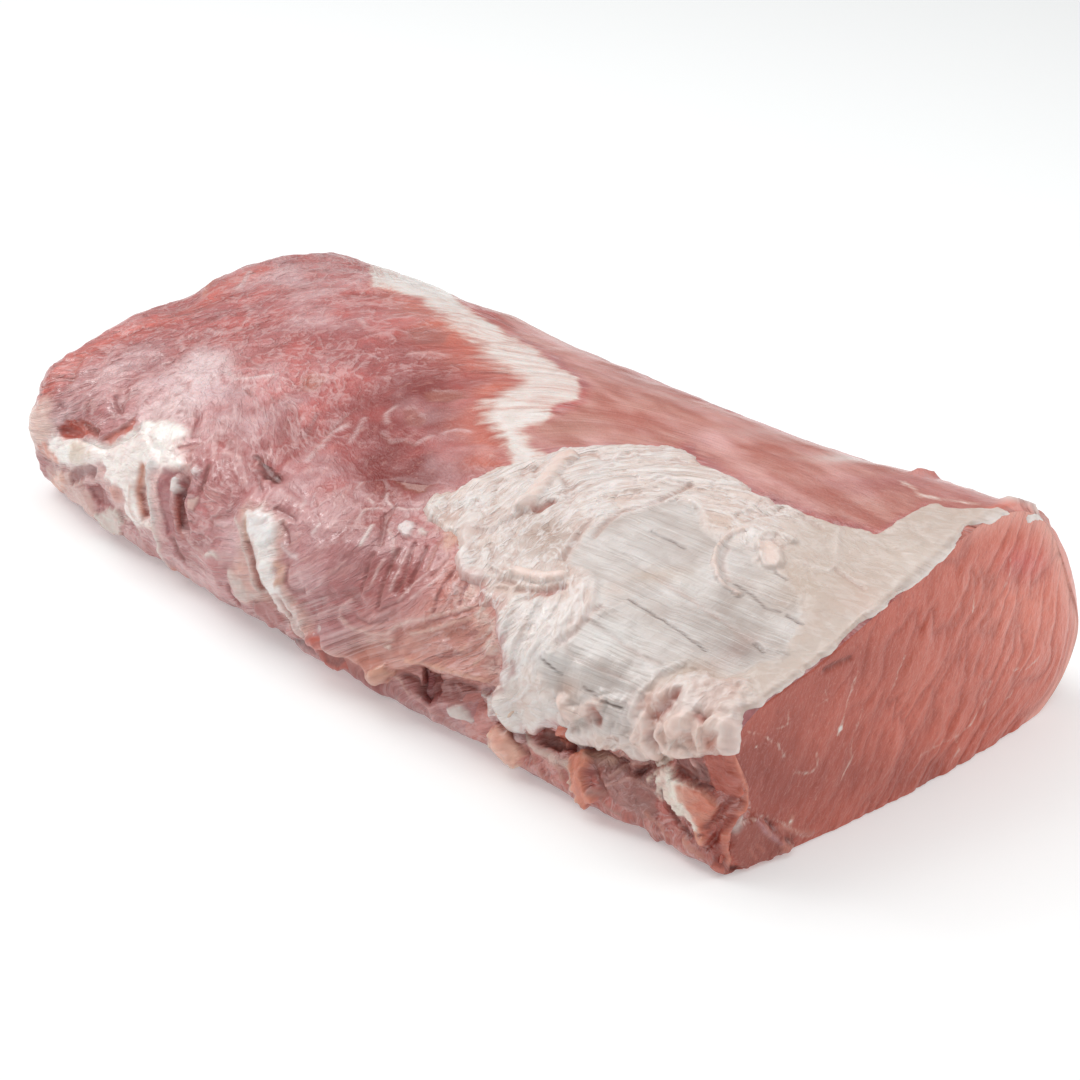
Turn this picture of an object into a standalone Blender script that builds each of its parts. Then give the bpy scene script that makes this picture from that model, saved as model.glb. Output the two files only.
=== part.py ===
"""A raw boneless pork loin: one solid piece of meat that lies on its flat underside.

The loin runs along X, with its fresh cut face at +X and its rounded far end at -X. Its thin ragged
front is at -Y and its thick smooth back at +Y. Sizes below are in millimetres; the model is in metres,
+Z up, with its origin on the table under the middle of the loin's box.

A place on the skin is named by two distances: back, from the cut face towards the far end, and girth,
from the foot of the front, up over the top and down to the foot of the back.
"""

import math

import bmesh
import bpy
import numpy as np
from mathutils import Vector, noise

MM = 0.001

# The run between the two ends, and how the ends are shaped.
STRAIGHT_LENGTH = 280.0
FAR_END_ROUND = 11.0
FAR_END_BULGE = 6.0
CUT_FACE_BULGE = 4.5
CUT_EDGE_ROUND = 1.2

# The section at the far end, at one third, at two thirds and at the cut face, by its key points.
# y is measured from the near foot of the cut face, and z from the table. A foot is where the smooth
# outline dips 1 mm under the table, which cuts it flat.
SECTION = {
    "front_foot": {"y": (-8.5, -7.5, -3.5, 3), "z": (-1, -1, -1, -1)},
    "front_belly": {"y": (-19.5, -21.5, -13.5, 3.5), "z": (19.5, 17.5, 18, 18.5)},
    "front_shoulder": {"y": (-13, -11.5, -5.5, 5), "z": (39.5, 41.5, 42, 40.5)},
    "top_quarter": {"y": (14, 18, 23, 31), "z": (50, 51.5, 53, 50)},
    "top_middle": {"y": (42, 47, 53, 60), "z": (54.5, 58.5, 59.5, 59.5)},
    "crest": {"y": (67, 74.5, 82, 89.5), "z": (57, 62, 66, 68)},
    "back_shoulder": {"y": (100.5, 101.5, 104.5, 111.5), "z": (51, 54.5, 55, 61.5)},
    "back_side": {"y": (114, 117, 119, 127.5), "z": (32, 33, 33, 36)},
    "back_belly": {"y": (115, 120, 124, 135.5), "z": (15, 15, 15, 15.5)},
    "back_foot": {"y": (99, 103, 107, 115), "z": (-1, -1, -1, -1)},
    "underside": {"y": (45, 48, 51, 58), "z": (-1, -1, -1, -1)},
}
CORNERS = ("front_foot", "front_shoulder", "back_shoulder", "back_foot")
MIDDLE_Y = 50.0
HALF_WIDTH = 65.0
HEIGHT = 62.0

# Cells of the mesh: up each side, across the top, along the straight run and round the far end.
SIDE_CELLS = 12
TOP_CELLS = 36
LENGTH_CELLS = 70
FAR_END_CELLS = 4
SPLINE_STEPS = 24

# The layers of fat on the skin, as outlines in (back, girth), and how far each stands proud.
FAT_PATCH = (
    (124, 70), (120, 89), (113, 104), (102, 117), (86, 126), (71, 124), (56, 117), (31, 116),
    (19, 119), (12, 131), (-9, 137), (-9, 33), (10, 33), (25, 27), (40, 28), (62, 28), (72, 33),
    (73, 42), (80, 46), (93, 52), (109, 59),
)
FAT_PATCH_HEIGHT = 2.0
FAT_STRIP = (
    (242, 146), (225, 156), (195, 147), (166, 143), (140, 136), (129, 128), (122, 112), (116, 98),
    (128, 100), (140, 108), (150, 119), (181, 135), (208, 142),
)
FAT_STRIP_HEIGHT = 1.0
CORNER_FAT = (
    (278, 34), (262, 42), (245, 46), (232, 44), (222, 56), (206, 57), (204, 46), (210, 35),
    (212, 14), (222, 10), (236, 18), (242, 27), (262, 27), (272, 24),
)
CORNER_FAT_HEIGHT = 1.8
FAT_TONGUE = ((170, 40), (164, 43), (158, 30), (152, 16), (144, 9), (150, 8), (160, 17), (168, 28))
FAT_TONGUE_HEIGHT = 1.6
LAYER_EDGE = 3.5

# The lip: along this line the skin overhangs a hollow above the front foot.
LIP_LINE = ((166, 20), (148, 25), (126, 26), (99, 26), (84, 29), (72, 34))
LIP_HEIGHT = 1.6
LIP_HOLLOW = 3.2
LIP_REACH = 11.0

# Creases along lines, and pits and lumps at points: place, width and depth (a lump's depth is below 0).
CREASES = (
    (((208, 35), (213, 12)), 3.0, 3.0),
    (((201, 40), (200, 20)), 3.0, 3.0),
    (((171, 38), (163, 25), (156, 16)), 2.8, 2.6),
    (((275, 42), (258, 48), (244, 52), (232, 50)), 3.4, 2.2),
    (((181, 62), (174, 56), (166, 53)), 5.0, 2.6),
    (((72, 28), (60, 22), (45, 22)), 4.0, 2.6),
    (((26, 27), (12, 30), (4, 33)), 4.0, 2.0),
)
PITS = (
    ((95, 20), 4.5, 4.0), ((169, 53), 7.0, 3.0), ((62, 20), 4.0, -2.4), ((38, 20), 5.0, -3.6),
    ((46, 12), 5.0, 2.0), ((20, 16), 6.0, -2.0), ((6, 22), 6.0, -2.6), ((12, 8), 4.5, 2.2),
    ((120, 15), 7.0, -1.8), ((246, 20), 6.0, -1.6), ((190, 20), 8.0, -1.4), ((110, 92), 9.0, -1.6),
    ((282, 97), 9.0, 2.4), ((33, 143), 13.0, -1.8), ((200, 165), 14.0, -1.2),
)

# Unevenness all over: the size of the lumps and how far they stand out, larger on the ragged front.
LUMP_SIZES = (34.0, 13.0)
LUMP_HEIGHTS = (1.1, 0.5)
FRONT_ROUGHNESS = 1.5
FRONT_GIRTH = 62.0
FOOT_RAGGEDNESS = 1.6
GRAIN_SPACING = 11.0
GRAIN_HEIGHT = 0.45
GRAIN_LEAN = 0.35
RIM_FADE = 8.0

MEAT_COLOUR = (0.50, 0.205, 0.180, 1.0)
MEAT_ROUGHNESS = 0.42


def at_station(values, share):
    """The smooth curve through four evenly spaced values, at a share of the way to the cut face."""
    far, third, two_thirds, near = values
    a, b, c, d = share, share - 1 / 3, share - 2 / 3, share - 1
    return (-4.5 * b * c * d * far + 13.5 * a * c * d * third
            - 13.5 * a * b * d * two_thirds + 4.5 * a * b * c * near)


def section_curve(share):
    """The section's closed outline, and the index in it of each named key point."""
    keys = np.array([[at_station(key[axis], share) for axis in "yz"] for key in SECTION.values()])
    neighbours = (np.roll(keys, 1, 0), keys, np.roll(keys, -1, 0), np.roll(keys, -2, 0))
    p0, p1, p2, p3 = (points[:, None, :] for points in neighbours)
    u = (np.arange(SPLINE_STEPS) / SPLINE_STEPS)[None, :, None]
    curve = 0.5 * (2 * p1 + (p2 - p0) * u + (2 * p0 - 5 * p1 + 4 * p2 - p3) * u**2
                   + (3 * p1 - p0 - 3 * p2 + p3) * u**3)
    index = {name: i * SPLINE_STEPS for i, name in enumerate(SECTION)}
    return curve.reshape(-1, 2), index


def evenly(points, cells):
    """cells + 1 points at equal distances along a run of points."""
    steps = np.linalg.norm(np.diff(points, axis=0), axis=1)
    run = np.concatenate([[0], np.cumsum(steps)])
    where = np.linspace(0, run[-1], cells + 1)
    return np.stack([np.interp(where, run, points[:, k]) for k in range(2)], axis=1)


def arch_of(share):
    """The section above the table, as points (y, z) from the front foot over the top to the back foot."""
    curve, index = section_curve(share)
    stops = [index[name] for name in CORNERS]
    parts = [evenly(curve[a:b + 1], cells)
             for a, b, cells in zip(stops, stops[1:], (SIDE_CELLS, TOP_CELLS, SIDE_CELLS))]
    arch = np.vstack([parts[0], parts[1][1:], parts[2][1:]])
    arch[:, 1] = np.maximum(arch[:, 1], 0)
    return arch


def shrunk(arch, inset):
    """The arch made smaller by about inset on every side but the underside."""
    scale = (1 - inset / HALF_WIDTH, 1 - inset / HEIGHT)
    return (arch - (MIDDLE_Y, 0)) * scale + (MIDDLE_Y, 0)


def cut_face_x(y, z):
    """How far the cut face swells out at a point of it."""
    return CUT_FACE_BULGE * (1 - ((y - 55) / 62) ** 2) * (1 - (z / 75) ** 2)


def skin_grid():
    """The loin's skin without relief: points (row, place on the arch), with their back and girth."""
    rows, backs = [], []
    for step in range(FAR_END_CELLS, 0, -1):
        turn = step / FAR_END_CELLS * math.pi / 2
        arch = shrunk(arch_of(0), FAR_END_ROUND * (1 - math.cos(turn)))
        x = np.full(len(arch), -STRAIGHT_LENGTH - FAR_END_ROUND * math.sin(turn))
        rows.append(np.column_stack([x, arch]))
        backs.append(STRAIGHT_LENGTH + FAR_END_ROUND * turn)
    shares = list(np.linspace(0, 1, LENGTH_CELLS + 1)[:-1]) + [1 - CUT_EDGE_ROUND / STRAIGHT_LENGTH, 1]
    for share in shares:
        arch = arch_of(share)
        if share == 1:
            arch = shrunk(arch, CUT_EDGE_ROUND)
        x = -STRAIGHT_LENGTH * (1 - share) + share * cut_face_x(arch[:, 0], arch[:, 1])
        rows.append(np.column_stack([x, arch]))
        backs.append(STRAIGHT_LENGTH * (1 - share))
    grid = np.array(rows)
    steps = np.linalg.norm(np.diff(grid[:, :, 1:], axis=1), axis=2)
    girth = np.concatenate([np.zeros((len(grid), 1)), np.cumsum(steps, axis=1)], axis=1)
    back = np.repeat(np.array(backs)[:, None], grid.shape[1], axis=1)
    return grid, np.stack([back, girth], axis=-1)


def outward(grid):
    """The unit normals of a grid of points, pointing out of the loin."""
    normals = np.cross(np.gradient(grid, axis=0), np.gradient(grid, axis=1))
    return normals / np.linalg.norm(normals, axis=-1, keepdims=True)


def to_path(places, path):
    """The distance from each place to a path of points, on the unrolled skin."""
    best = np.full(places.shape[:-1], np.inf)
    for start, end in zip(np.array(path[:-1], float), np.array(path[1:], float)):
        run = end - start
        share = np.clip(((places - start) @ run) / (run @ run), 0, 1)
        best = np.minimum(best, np.linalg.norm(places - start - share[..., None] * run, axis=-1))
    return best


def inside(places, outline):
    """True where a place lies within a closed outline on the unrolled skin."""
    back, girth = places[..., 0], places[..., 1]
    odd = np.zeros(back.shape, bool)
    for (b0, g0), (b1, g1) in zip(outline, outline[1:] + outline[:1]):
        if g0 == g1:
            continue
        crosses = (g0 > girth) != (g1 > girth)
        odd ^= crosses & (back < (b1 - b0) * (girth - g0) / (g1 - g0) + b0)
    return odd


def smooth(value):
    """0 below 0, 1 above 1, and an easy curve between."""
    value = np.clip(value, 0, 1)
    return value * value * (3 - 2 * value)


def bell(distance, width):
    """1 at no distance, falling to nothing at about twice the width."""
    return np.exp(-(distance / width) ** 2)


def layer(places, outline, height):
    """The relief of a sheet of fat: its height inside the outline, easing out at the edge."""
    edge = to_path(places, outline + outline[:1])
    signed = np.where(inside(places, outline), edge, -edge)
    return height * smooth(signed / LAYER_EDGE + 0.5)


def lip(places):
    """The relief of the lip: a raised edge with a hollow between it and the foot."""
    back, girth = places[..., 0], places[..., 1]
    line = np.array(sorted(LIP_LINE), float)
    below = np.interp(back, line[:, 0], line[:, 1]) - girth
    ends = smooth((back - line[0, 0]) / 10) * smooth((line[-1, 0] - back) / 10)
    edge = LIP_HEIGHT * bell(below + 2, 4.0)
    hollow = LIP_HOLLOW * smooth(below / 3) * smooth((LIP_REACH - below) / 6 + 1)
    return ends * (edge - hollow)


def lumps(grid, places):
    """Natural unevenness, stronger on the front than on the smooth top and back."""
    front = 1 + (FRONT_ROUGHNESS - 1) * smooth((FRONT_GIRTH - places[..., 1]) / 20)
    relief = np.zeros(grid.shape[:-1])
    for size, height in zip(LUMP_SIZES, LUMP_HEIGHTS):
        for at in np.ndindex(relief.shape):
            relief[at] += height * noise.noise(Vector(grid[at] / size))
    return relief * front


def relieved(grid, places):
    """The skin with its relief, which moves each point straight out and keeps the foot on the table."""
    relief = lumps(grid, places)
    relief += layer(places, FAT_PATCH, FAT_PATCH_HEIGHT)
    relief += layer(places, FAT_STRIP, FAT_STRIP_HEIGHT)
    relief += layer(places, CORNER_FAT, CORNER_FAT_HEIGHT)
    relief += layer(places, FAT_TONGUE, FAT_TONGUE_HEIGHT)
    relief += lip(places)
    for path, width, depth in CREASES:
        relief -= depth * bell(to_path(places, path), width)
    for place, width, depth in PITS:
        relief -= depth * bell(np.linalg.norm(places - place, axis=-1), width)
    relief[:, 0] += [FOOT_RAGGEDNESS * noise.noise(Vector((x / 9, 0, 7))) for x in grid[:, 0, 0]]
    normals = outward(grid)
    for foot in (0, -1):
        normals[:, foot, 2] = 0
    moved = grid + normals * relief[..., None]
    moved[..., 2] = np.maximum(moved[..., 2], 0)
    return moved


def cap_grid(arch, swell):
    """A face across an end of the skin, inside its arch; swell gives a point's x and its relief."""
    front = arch[:SIDE_CELLS + 1]
    top = arch[SIDE_CELLS:SIDE_CELLS + TOP_CELLS + 1]
    back = arch[SIDE_CELLS + TOP_CELLS:][::-1]
    u = np.linspace(0, 1, TOP_CELLS + 1)[:, None, None]
    v = np.linspace(0, 1, SIDE_CELLS + 1)[None, :, None]
    foot = front[0] * (1 - u[:, 0]) + back[0] * u[:, 0]
    foot[1:-1, 0] = [swell(y, 0, 0) for y in foot[1:-1, 1]]
    corners = ((1 - u) * (1 - v) * front[0] + u * (1 - v) * back[0]
               + (1 - u) * v * top[0] + u * v * top[-1])
    grid = ((1 - v) * foot[:, None] + v * top[:, None] + (1 - u) * front[None] + u * back[None]
            - corners)
    for i in range(1, TOP_CELLS):
        for j in range(1, SIDE_CELLS):
            rim = np.linalg.norm(arch[:, 1:] - grid[i, j, 1:], axis=1).min()
            grid[i, j, 0] = swell(grid[i, j, 1], grid[i, j, 2], rim)
    return grid


def cut_face_swell(y, z, rim):
    """The cut face: a gentle swelling, crossed by the soft ridges of the muscle's grain."""
    across = (y + GRAIN_LEAN * z) / GRAIN_SPACING + 1.2 * noise.noise(Vector((y, z, 0)) / 30)
    fade = min(rim / RIM_FADE, 1) * min(z / RIM_FADE, 1)
    return cut_face_x(y, z) + fade * GRAIN_HEIGHT * math.sin(2 * math.pi * across)


def far_face_swell(y, z, rim):
    """The far end: a rounded, lumpy face."""
    fade = 1 - (1 - min(rim / 22, 1)) ** 2
    return -STRAIGHT_LENGTH - FAR_END_ROUND - fade * (FAR_END_BULGE + noise.noise(Vector((y, z, 9)) / 16))


def add_grid(mesh, grid, flip):
    """Add a grid of points to the mesh as four-sided faces."""
    verts = [[mesh.verts.new(point) for point in row] for row in grid]
    for i in range(len(verts) - 1):
        for j in range(len(verts[0]) - 1):
            corners = [verts[i][j], verts[i][j + 1], verts[i + 1][j + 1], verts[i + 1][j]]
            mesh.faces.new(corners[::-1] if flip else corners)


def meat_material():
    """Raw pork: pale red, moist."""
    material = bpy.data.materials.new("raw_pork")
    material.use_nodes = True
    shader = material.node_tree.nodes["Principled BSDF"]
    shader.inputs["Base Color"].default_value = MEAT_COLOUR
    shader.inputs["Roughness"].default_value = MEAT_ROUGHNESS
    shader.inputs["Metallic"].default_value = 0.0
    material.diffuse_color = MEAT_COLOUR
    return material


def make_loin():
    """The loin: its skin, its two end faces and its flat underside, joined into one closed mesh."""
    skin = relieved(*skin_grid())
    loin = bmesh.new()
    add_grid(loin, skin, flip=False)
    add_grid(loin, cap_grid(skin[-1], cut_face_swell), flip=False)
    add_grid(loin, cap_grid(skin[0], far_face_swell), flip=True)
    bmesh.ops.remove_doubles(loin, verts=loin.verts, dist=0.001)
    bmesh.ops.contextual_create(loin, geom=[edge for edge in loin.edges if edge.is_boundary])
    bmesh.ops.recalc_face_normals(loin, faces=loin.faces)
    corners = np.array([vert.co for vert in loin.verts])
    low, high = corners.min(axis=0), corners.max(axis=0)
    middle = Vector(((low[0] + high[0]) / 2, (low[1] + high[1]) / 2, 0))
    bmesh.ops.translate(loin, verts=loin.verts, vec=-middle)
    bmesh.ops.scale(loin, verts=loin.verts, vec=(MM, MM, MM))
    mesh = bpy.data.meshes.new("pork_loin")
    loin.to_mesh(mesh)
    loin.free()
    mesh.shade_smooth()
    mesh.set_sharp_from_angle(angle=math.radians(50))
    mesh.materials.append(meat_material())
    return bpy.data.objects.new("pork_loin", mesh)


def main():
    for item in list(bpy.data.objects):
        bpy.data.objects.remove(item, do_unlink=True)
    collection = bpy.data.collections.new("pork_loin")
    bpy.context.scene.collection.children.link(collection)
    collection.objects.link(make_loin())


main()
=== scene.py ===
"""The looks of a raw boneless pork loin: streaked red meat with a patch of fat and silverskin on its top.

The form repeats the part's own sizes, in millimetres from the near foot of the cut face, with finer cells.
A place on the skin is (back, girth): the distance from the cut face, and the distance up the front, over
the top and down the back. What the photograph shows is placed by pixels of its 1080 by 1080 frame, which
are carried onto the skin along the camera's rays.
"""

import math

import bpy
import numpy as np
from mathutils import Matrix, Vector, noise


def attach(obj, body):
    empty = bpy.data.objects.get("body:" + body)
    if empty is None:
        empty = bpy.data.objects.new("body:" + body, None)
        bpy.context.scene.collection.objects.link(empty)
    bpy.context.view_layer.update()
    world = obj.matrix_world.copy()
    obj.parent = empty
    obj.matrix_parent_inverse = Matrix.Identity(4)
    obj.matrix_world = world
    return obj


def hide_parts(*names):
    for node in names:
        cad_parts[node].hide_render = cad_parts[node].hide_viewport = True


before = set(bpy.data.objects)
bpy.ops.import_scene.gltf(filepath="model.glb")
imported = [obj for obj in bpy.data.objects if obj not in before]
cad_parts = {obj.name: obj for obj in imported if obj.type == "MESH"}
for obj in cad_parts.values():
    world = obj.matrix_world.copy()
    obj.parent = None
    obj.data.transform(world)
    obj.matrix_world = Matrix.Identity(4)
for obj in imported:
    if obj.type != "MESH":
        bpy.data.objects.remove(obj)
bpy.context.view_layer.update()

MM = 0.001
# The middle of the part's frame, in the script's own millimetres.
CENTRE = (-146.42, 55.76, 0.0)

# ---------------------------------------------------------------- the form, as in the part's source
STRAIGHT_LENGTH = 280.0
FAR_END_ROUND = 11.0
FAR_END_BULGE = 6.0
CUT_FACE_BULGE = 4.5
CUT_EDGE_ROUND = 1.2
SECTION = {
    "front_foot": {"y": (-8.5, -7.5, -3.5, 3), "z": (-1, -1, -1, -1)},
    "front_belly": {"y": (-19.5, -21.5, -13.5, 3.5), "z": (19.5, 17.5, 18, 18.5)},
    "front_shoulder": {"y": (-13, -11.5, -5.5, 5), "z": (39.5, 41.5, 42, 40.5)},
    "top_quarter": {"y": (14, 18, 23, 31), "z": (50, 51.5, 53, 50)},
    "top_middle": {"y": (42, 47, 53, 60), "z": (54.5, 58.5, 59.5, 59.5)},
    "crest": {"y": (67, 74.5, 82, 89.5), "z": (57, 62, 66, 68)},
    "back_shoulder": {"y": (100.5, 101.5, 104.5, 111.5), "z": (51, 54.5, 55, 61.5)},
    "back_side": {"y": (114, 117, 119, 127.5), "z": (32, 33, 33, 36)},
    "back_belly": {"y": (115, 120, 124, 135.5), "z": (15, 15, 15, 15.5)},
    "back_foot": {"y": (99, 103, 107, 115), "z": (-1, -1, -1, -1)},
    "underside": {"y": (45, 48, 51, 58), "z": (-1, -1, -1, -1)},
}
CORNERS = ("front_foot", "front_shoulder", "back_shoulder", "back_foot")
MIDDLE_Y = 50.0
HALF_WIDTH = 65.0
HEIGHT = 62.0
SPLINE_STEPS = 48
# The oval over which the cut face swells: its middle across, its half width and its height.
FACE_MIDDLE = 55.0
FACE_HALF_WIDTH = 62.0
FACE_HEIGHT = 75.0

# Cells: up each side, across the top, along the straight run and round the far end.
BODY_CELLS = {"side": 52, "top": 130, "length": 296, "end": 16}
FACE_CELLS = {"side": 100, "top": 250}
PATCH_CELL = 0.46
SIDE_CELL = 0.42
CORNER_CELL = 0.52
FLANK_CELL = 0.50
# The rows of the skin at the cut edge, with how much of its relief each keeps, and on the cut face.
CUT_EDGE_BACKS = (CUT_EDGE_ROUND, CUT_EDGE_ROUND / 2, 0.0)
CUT_EDGE_RELIEF = (0.85, 0.6, 0.4)
CUT_FACE_BACKS = (-1.0, -2.0, -3.5, -5.0, -7.0)
# How far over the cut face the sheets may reach.
CUT_REACH = -6.5
# How far above the skin the drawn marks of the patch lie, and how far the skin is sunk under the sheets.
PATCH_LIFT = 1.4
UNDER_DEPTH = 2.6
# How far below the skin the undersides of the sheets lie, how far the patch's edge is sunk in, and the
# scale of the cut face's underside.
SHEET_DEPTH = 3.2
PATCH_DEPTH = 2.6
FACE_DEPTH = 2.5
EDGE_SINK = 0.9
FACE_TAPER = 0.97

# ---------------------------------------------------------------- the camera, as the photograph was taken
PHOTO_SIZE = 1080.0
FOCAL_PIXELS = 2600.0
SENSOR_WIDTH = 36.0
CAMERA_AZIMUTH = 50.0
CAMERA_ELEVATION = 27.0
CAMERA_PLACE = (369.53, -365.04, 354.01)


def camera_axes():
    """The camera's right, up and backward directions."""
    a, e = math.radians(CAMERA_AZIMUTH), math.radians(CAMERA_ELEVATION)
    backward = np.array([math.sin(a) * math.cos(e), -math.cos(a) * math.cos(e), math.sin(e)])
    right = np.array([math.cos(a), math.sin(a), 0.0])
    return right, np.cross(backward, right), backward


def to_photo(points):
    """The photograph's pixel of each point."""
    right, up, backward = camera_axes()
    away = points - np.array(CAMERA_PLACE)
    depth = -(away @ backward)
    half = PHOTO_SIZE / 2
    return np.stack([half + FOCAL_PIXELS * (away @ right) / depth,
                     half - FOCAL_PIXELS * (away @ up) / depth], axis=-1)


# How freely the fitted fibres may bend: the highest power of place in the fit, and how far back and how
# far round the photograph shows them.
FIBRE_DEGREE = 7
SEEN_LIMITS = (284.0, 154.0)


# ---------------------------------------------------------------- numbers
def smooth(value):
    """0 below 0, 1 above 1, and an easy curve between."""
    value = np.clip(value, 0, 1)
    return value * value * (3 - 2 * value)


def bell(distance, width):
    """1 at no distance, falling to nothing at about twice the width."""
    return np.exp(-(distance / width) ** 2)


def unit(vectors):
    """The vectors, each made one long."""
    return vectors / np.maximum(np.linalg.norm(vectors, axis=-1, keepdims=True), 1e-9)


def scattered(ix, iy, iz, seed):
    """A repeatable number from -1 to 1 for each whole-numbered place."""
    n = (ix * 374761393 + iy * 668265263 + iz * 915488749 + seed * 1274126177) & 0xFFFFFFFF
    n = ((n ^ (n >> 13)) * 1274126177) & 0xFFFFFFFF
    return ((n ^ (n >> 16)) & 0xFFFF) / 32767.5 - 1


def wave(points, size, seed=0, octaves=1):
    """Smooth noise of about -1 to 1, whose lumps are about size across; each octave halves both."""
    total = np.zeros(points.shape[:-1])
    height = 1.0
    for octave in range(octaves):
        place = points / size * 2**octave
        cell = np.floor(place).astype(np.int64)
        share = place - cell
        share = share * share * share * (share * (share * 6 - 15) + 10)
        value = 0
        for corner in np.ndindex((2,) * points.shape[-1]):
            weight = np.prod(np.where(np.array(corner) == 1, share, 1 - share), axis=-1)
            whole = [cell[..., k] + step for k, step in enumerate(corner)] + [0]
            value = value + weight * scattered(*whole[:3], seed + octave)
        total += height * value
        height *= 0.5
    return total


def drawn_out(fibres, ratio, shift, size, seed, octaves=1):
    """Noise drawn out along the fibres by a ratio, with its lines shifted sideways."""
    return wave(np.stack([fibres[..., 0] / ratio, fibres[..., 1] + shift], axis=-1), size, seed, octaves)


def cells(points, size, seed=0):
    """For rounded lumps about size across: 1 at the middle of a lump, falling to 0 at its edge."""
    place = points / size
    cell = np.floor(place).astype(np.int64)
    best = np.full(points.shape[:-1], 9.0)
    for corner in np.ndindex((3,) * points.shape[-1]):
        near = cell + np.array(corner) - 1
        whole = [near[..., k] for k in range(near.shape[-1])] + [0]
        spot = np.stack([near[..., k] + 0.5 + 0.42 * scattered(*whole[:3], seed + 7 * k)
                         for k in range(near.shape[-1])], axis=-1)
        best = np.minimum(best, ((place - spot) ** 2).sum(axis=-1))
    return np.clip(1 - best, 0, 1)


# ---------------------------------------------------------------- the skin
def at_station(values, share):
    """The smooth curve through four evenly spaced values, at a share of the way to the cut face."""
    far, third, two_thirds, near = values
    a, b, c, d = share, share - 1 / 3, share - 2 / 3, share - 1
    return (-4.5 * b * c * d * far + 13.5 * a * c * d * third
            - 13.5 * a * b * d * two_thirds + 4.5 * a * b * c * near)


def section_curve(share):
    """The section's closed outline, and the index in it of each named key point."""
    keys = np.array([[at_station(key[axis], share) for axis in "yz"] for key in SECTION.values()])
    neighbours = (np.roll(keys, 1, 0), keys, np.roll(keys, -1, 0), np.roll(keys, -2, 0))
    p0, p1, p2, p3 = (points[:, None, :] for points in neighbours)
    u = (np.arange(SPLINE_STEPS) / SPLINE_STEPS)[None, :, None]
    curve = 0.5 * (2 * p1 + (p2 - p0) * u + (2 * p0 - 5 * p1 + 4 * p2 - p3) * u**2
                   + (3 * p1 - p0 - 3 * p2 + p3) * u**3)
    index = {name: i * SPLINE_STEPS for i, name in enumerate(SECTION)}
    return curve.reshape(-1, 2), index


def evenly(points, count):
    """count + 1 points at equal distances along a run of points."""
    steps = np.linalg.norm(np.diff(points, axis=0), axis=1)
    run = np.concatenate([[0], np.cumsum(steps)])
    where = np.linspace(0, run[-1], count + 1)
    return np.stack([np.interp(where, run, points[:, k]) for k in range(points.shape[1])], axis=1)


def respaced(curve, stops, fine):
    """A curve's points, spaced evenly up its front side, over its top and down its back side."""
    counts = (fine["side"], fine["top"], fine["side"])
    parts = [evenly(curve[a:b + 1], count) for a, b, count in zip(stops, stops[1:], counts)]
    return np.vstack([parts[0], parts[1][1:], parts[2][1:]])


def corner_steps(fine):
    """The steps along an arch at which its foot, its shoulders and its other foot lie."""
    return 0, fine["side"], fine["side"] + fine["top"], 2 * fine["side"] + fine["top"]


def arch_of(share, fine):
    """The section above the table, as points (y, z) from the front foot over the top to the back foot."""
    curve, index = section_curve(share)
    arch = respaced(curve, [index[name] for name in CORNERS], fine)
    arch[:, 1] = np.maximum(arch[:, 1], 0)
    return arch


def shrunk(arch, inset):
    """The arch made smaller by about inset on every side but the underside."""
    scale = (1 - inset / HALF_WIDTH, 1 - inset / HEIGHT)
    return (arch - (MIDDLE_Y, 0)) * scale + (MIDDLE_Y, 0)


def cut_face_x(y, z, *_):
    """How far the cut face swells out at a point of it, whatever its distance from the rim."""
    return CUT_FACE_BULGE * (1 - ((y - FACE_MIDDLE) / FACE_HALF_WIDTH) ** 2) * (1 - (z / FACE_HEIGHT) ** 2)


def row_at(back, fine):
    """One row of the skin, at a distance back from the cut face. Below 0 it lies on the cut face."""
    share = min(max(1 - back / STRAIGHT_LENGTH, 0), 1)
    arch = arch_of(share, fine)
    if back > STRAIGHT_LENGTH:
        turn = (back - STRAIGHT_LENGTH) / FAR_END_ROUND
        arch = shrunk(arch, FAR_END_ROUND * (1 - math.cos(turn)))
        x = np.full(len(arch), -STRAIGHT_LENGTH - FAR_END_ROUND * math.sin(turn))
    else:
        arch = shrunk(arch, CUT_EDGE_ROUND * max(1 - max(back, 0) / CUT_EDGE_ROUND, 0) - min(back, 0))
        x = share * cut_face_x(arch[:, 0], arch[:, 1]) - max(back, 0)
    return np.column_stack([x, arch])


def skin_grid(backs, fine):
    """The skin without relief: points (row, place on the arch), with their back and girth."""
    grid = np.array([row_at(back, fine) for back in backs])
    steps = np.linalg.norm(np.diff(grid[:, :, 1:], axis=1), axis=2)
    girth = np.concatenate([np.zeros((len(grid), 1)), np.cumsum(steps, axis=1)], axis=1)
    back = np.repeat(np.array(backs)[:, None], grid.shape[1], axis=1)
    return grid, np.stack([back, girth], axis=-1)


def outward(grid):
    """The unit normals of a grid of points, pointing out of the loin."""
    return unit(np.cross(np.gradient(grid, axis=0), np.gradient(grid, axis=1)))


def across(arch, fine):
    """Values given along an arch, spread evenly over the face inside it."""
    side, top_count = fine["side"], fine["top"]
    front = arch[:side + 1]
    top = arch[side:side + top_count + 1]
    back = arch[side + top_count:][::-1]
    u = np.linspace(0, 1, top_count + 1)[:, None, None]
    v = np.linspace(0, 1, side + 1)[None, :, None]
    foot = front[0] * (1 - u[:, 0]) + back[0] * u[:, 0]
    corners = ((1 - u) * (1 - v) * front[0] + u * (1 - v) * back[0]
               + (1 - u) * v * top[0] + u * v * top[-1])
    return (1 - v) * foot[:, None] + v * top[:, None] + (1 - u) * front[None] + u * back[None] - corners


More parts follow.
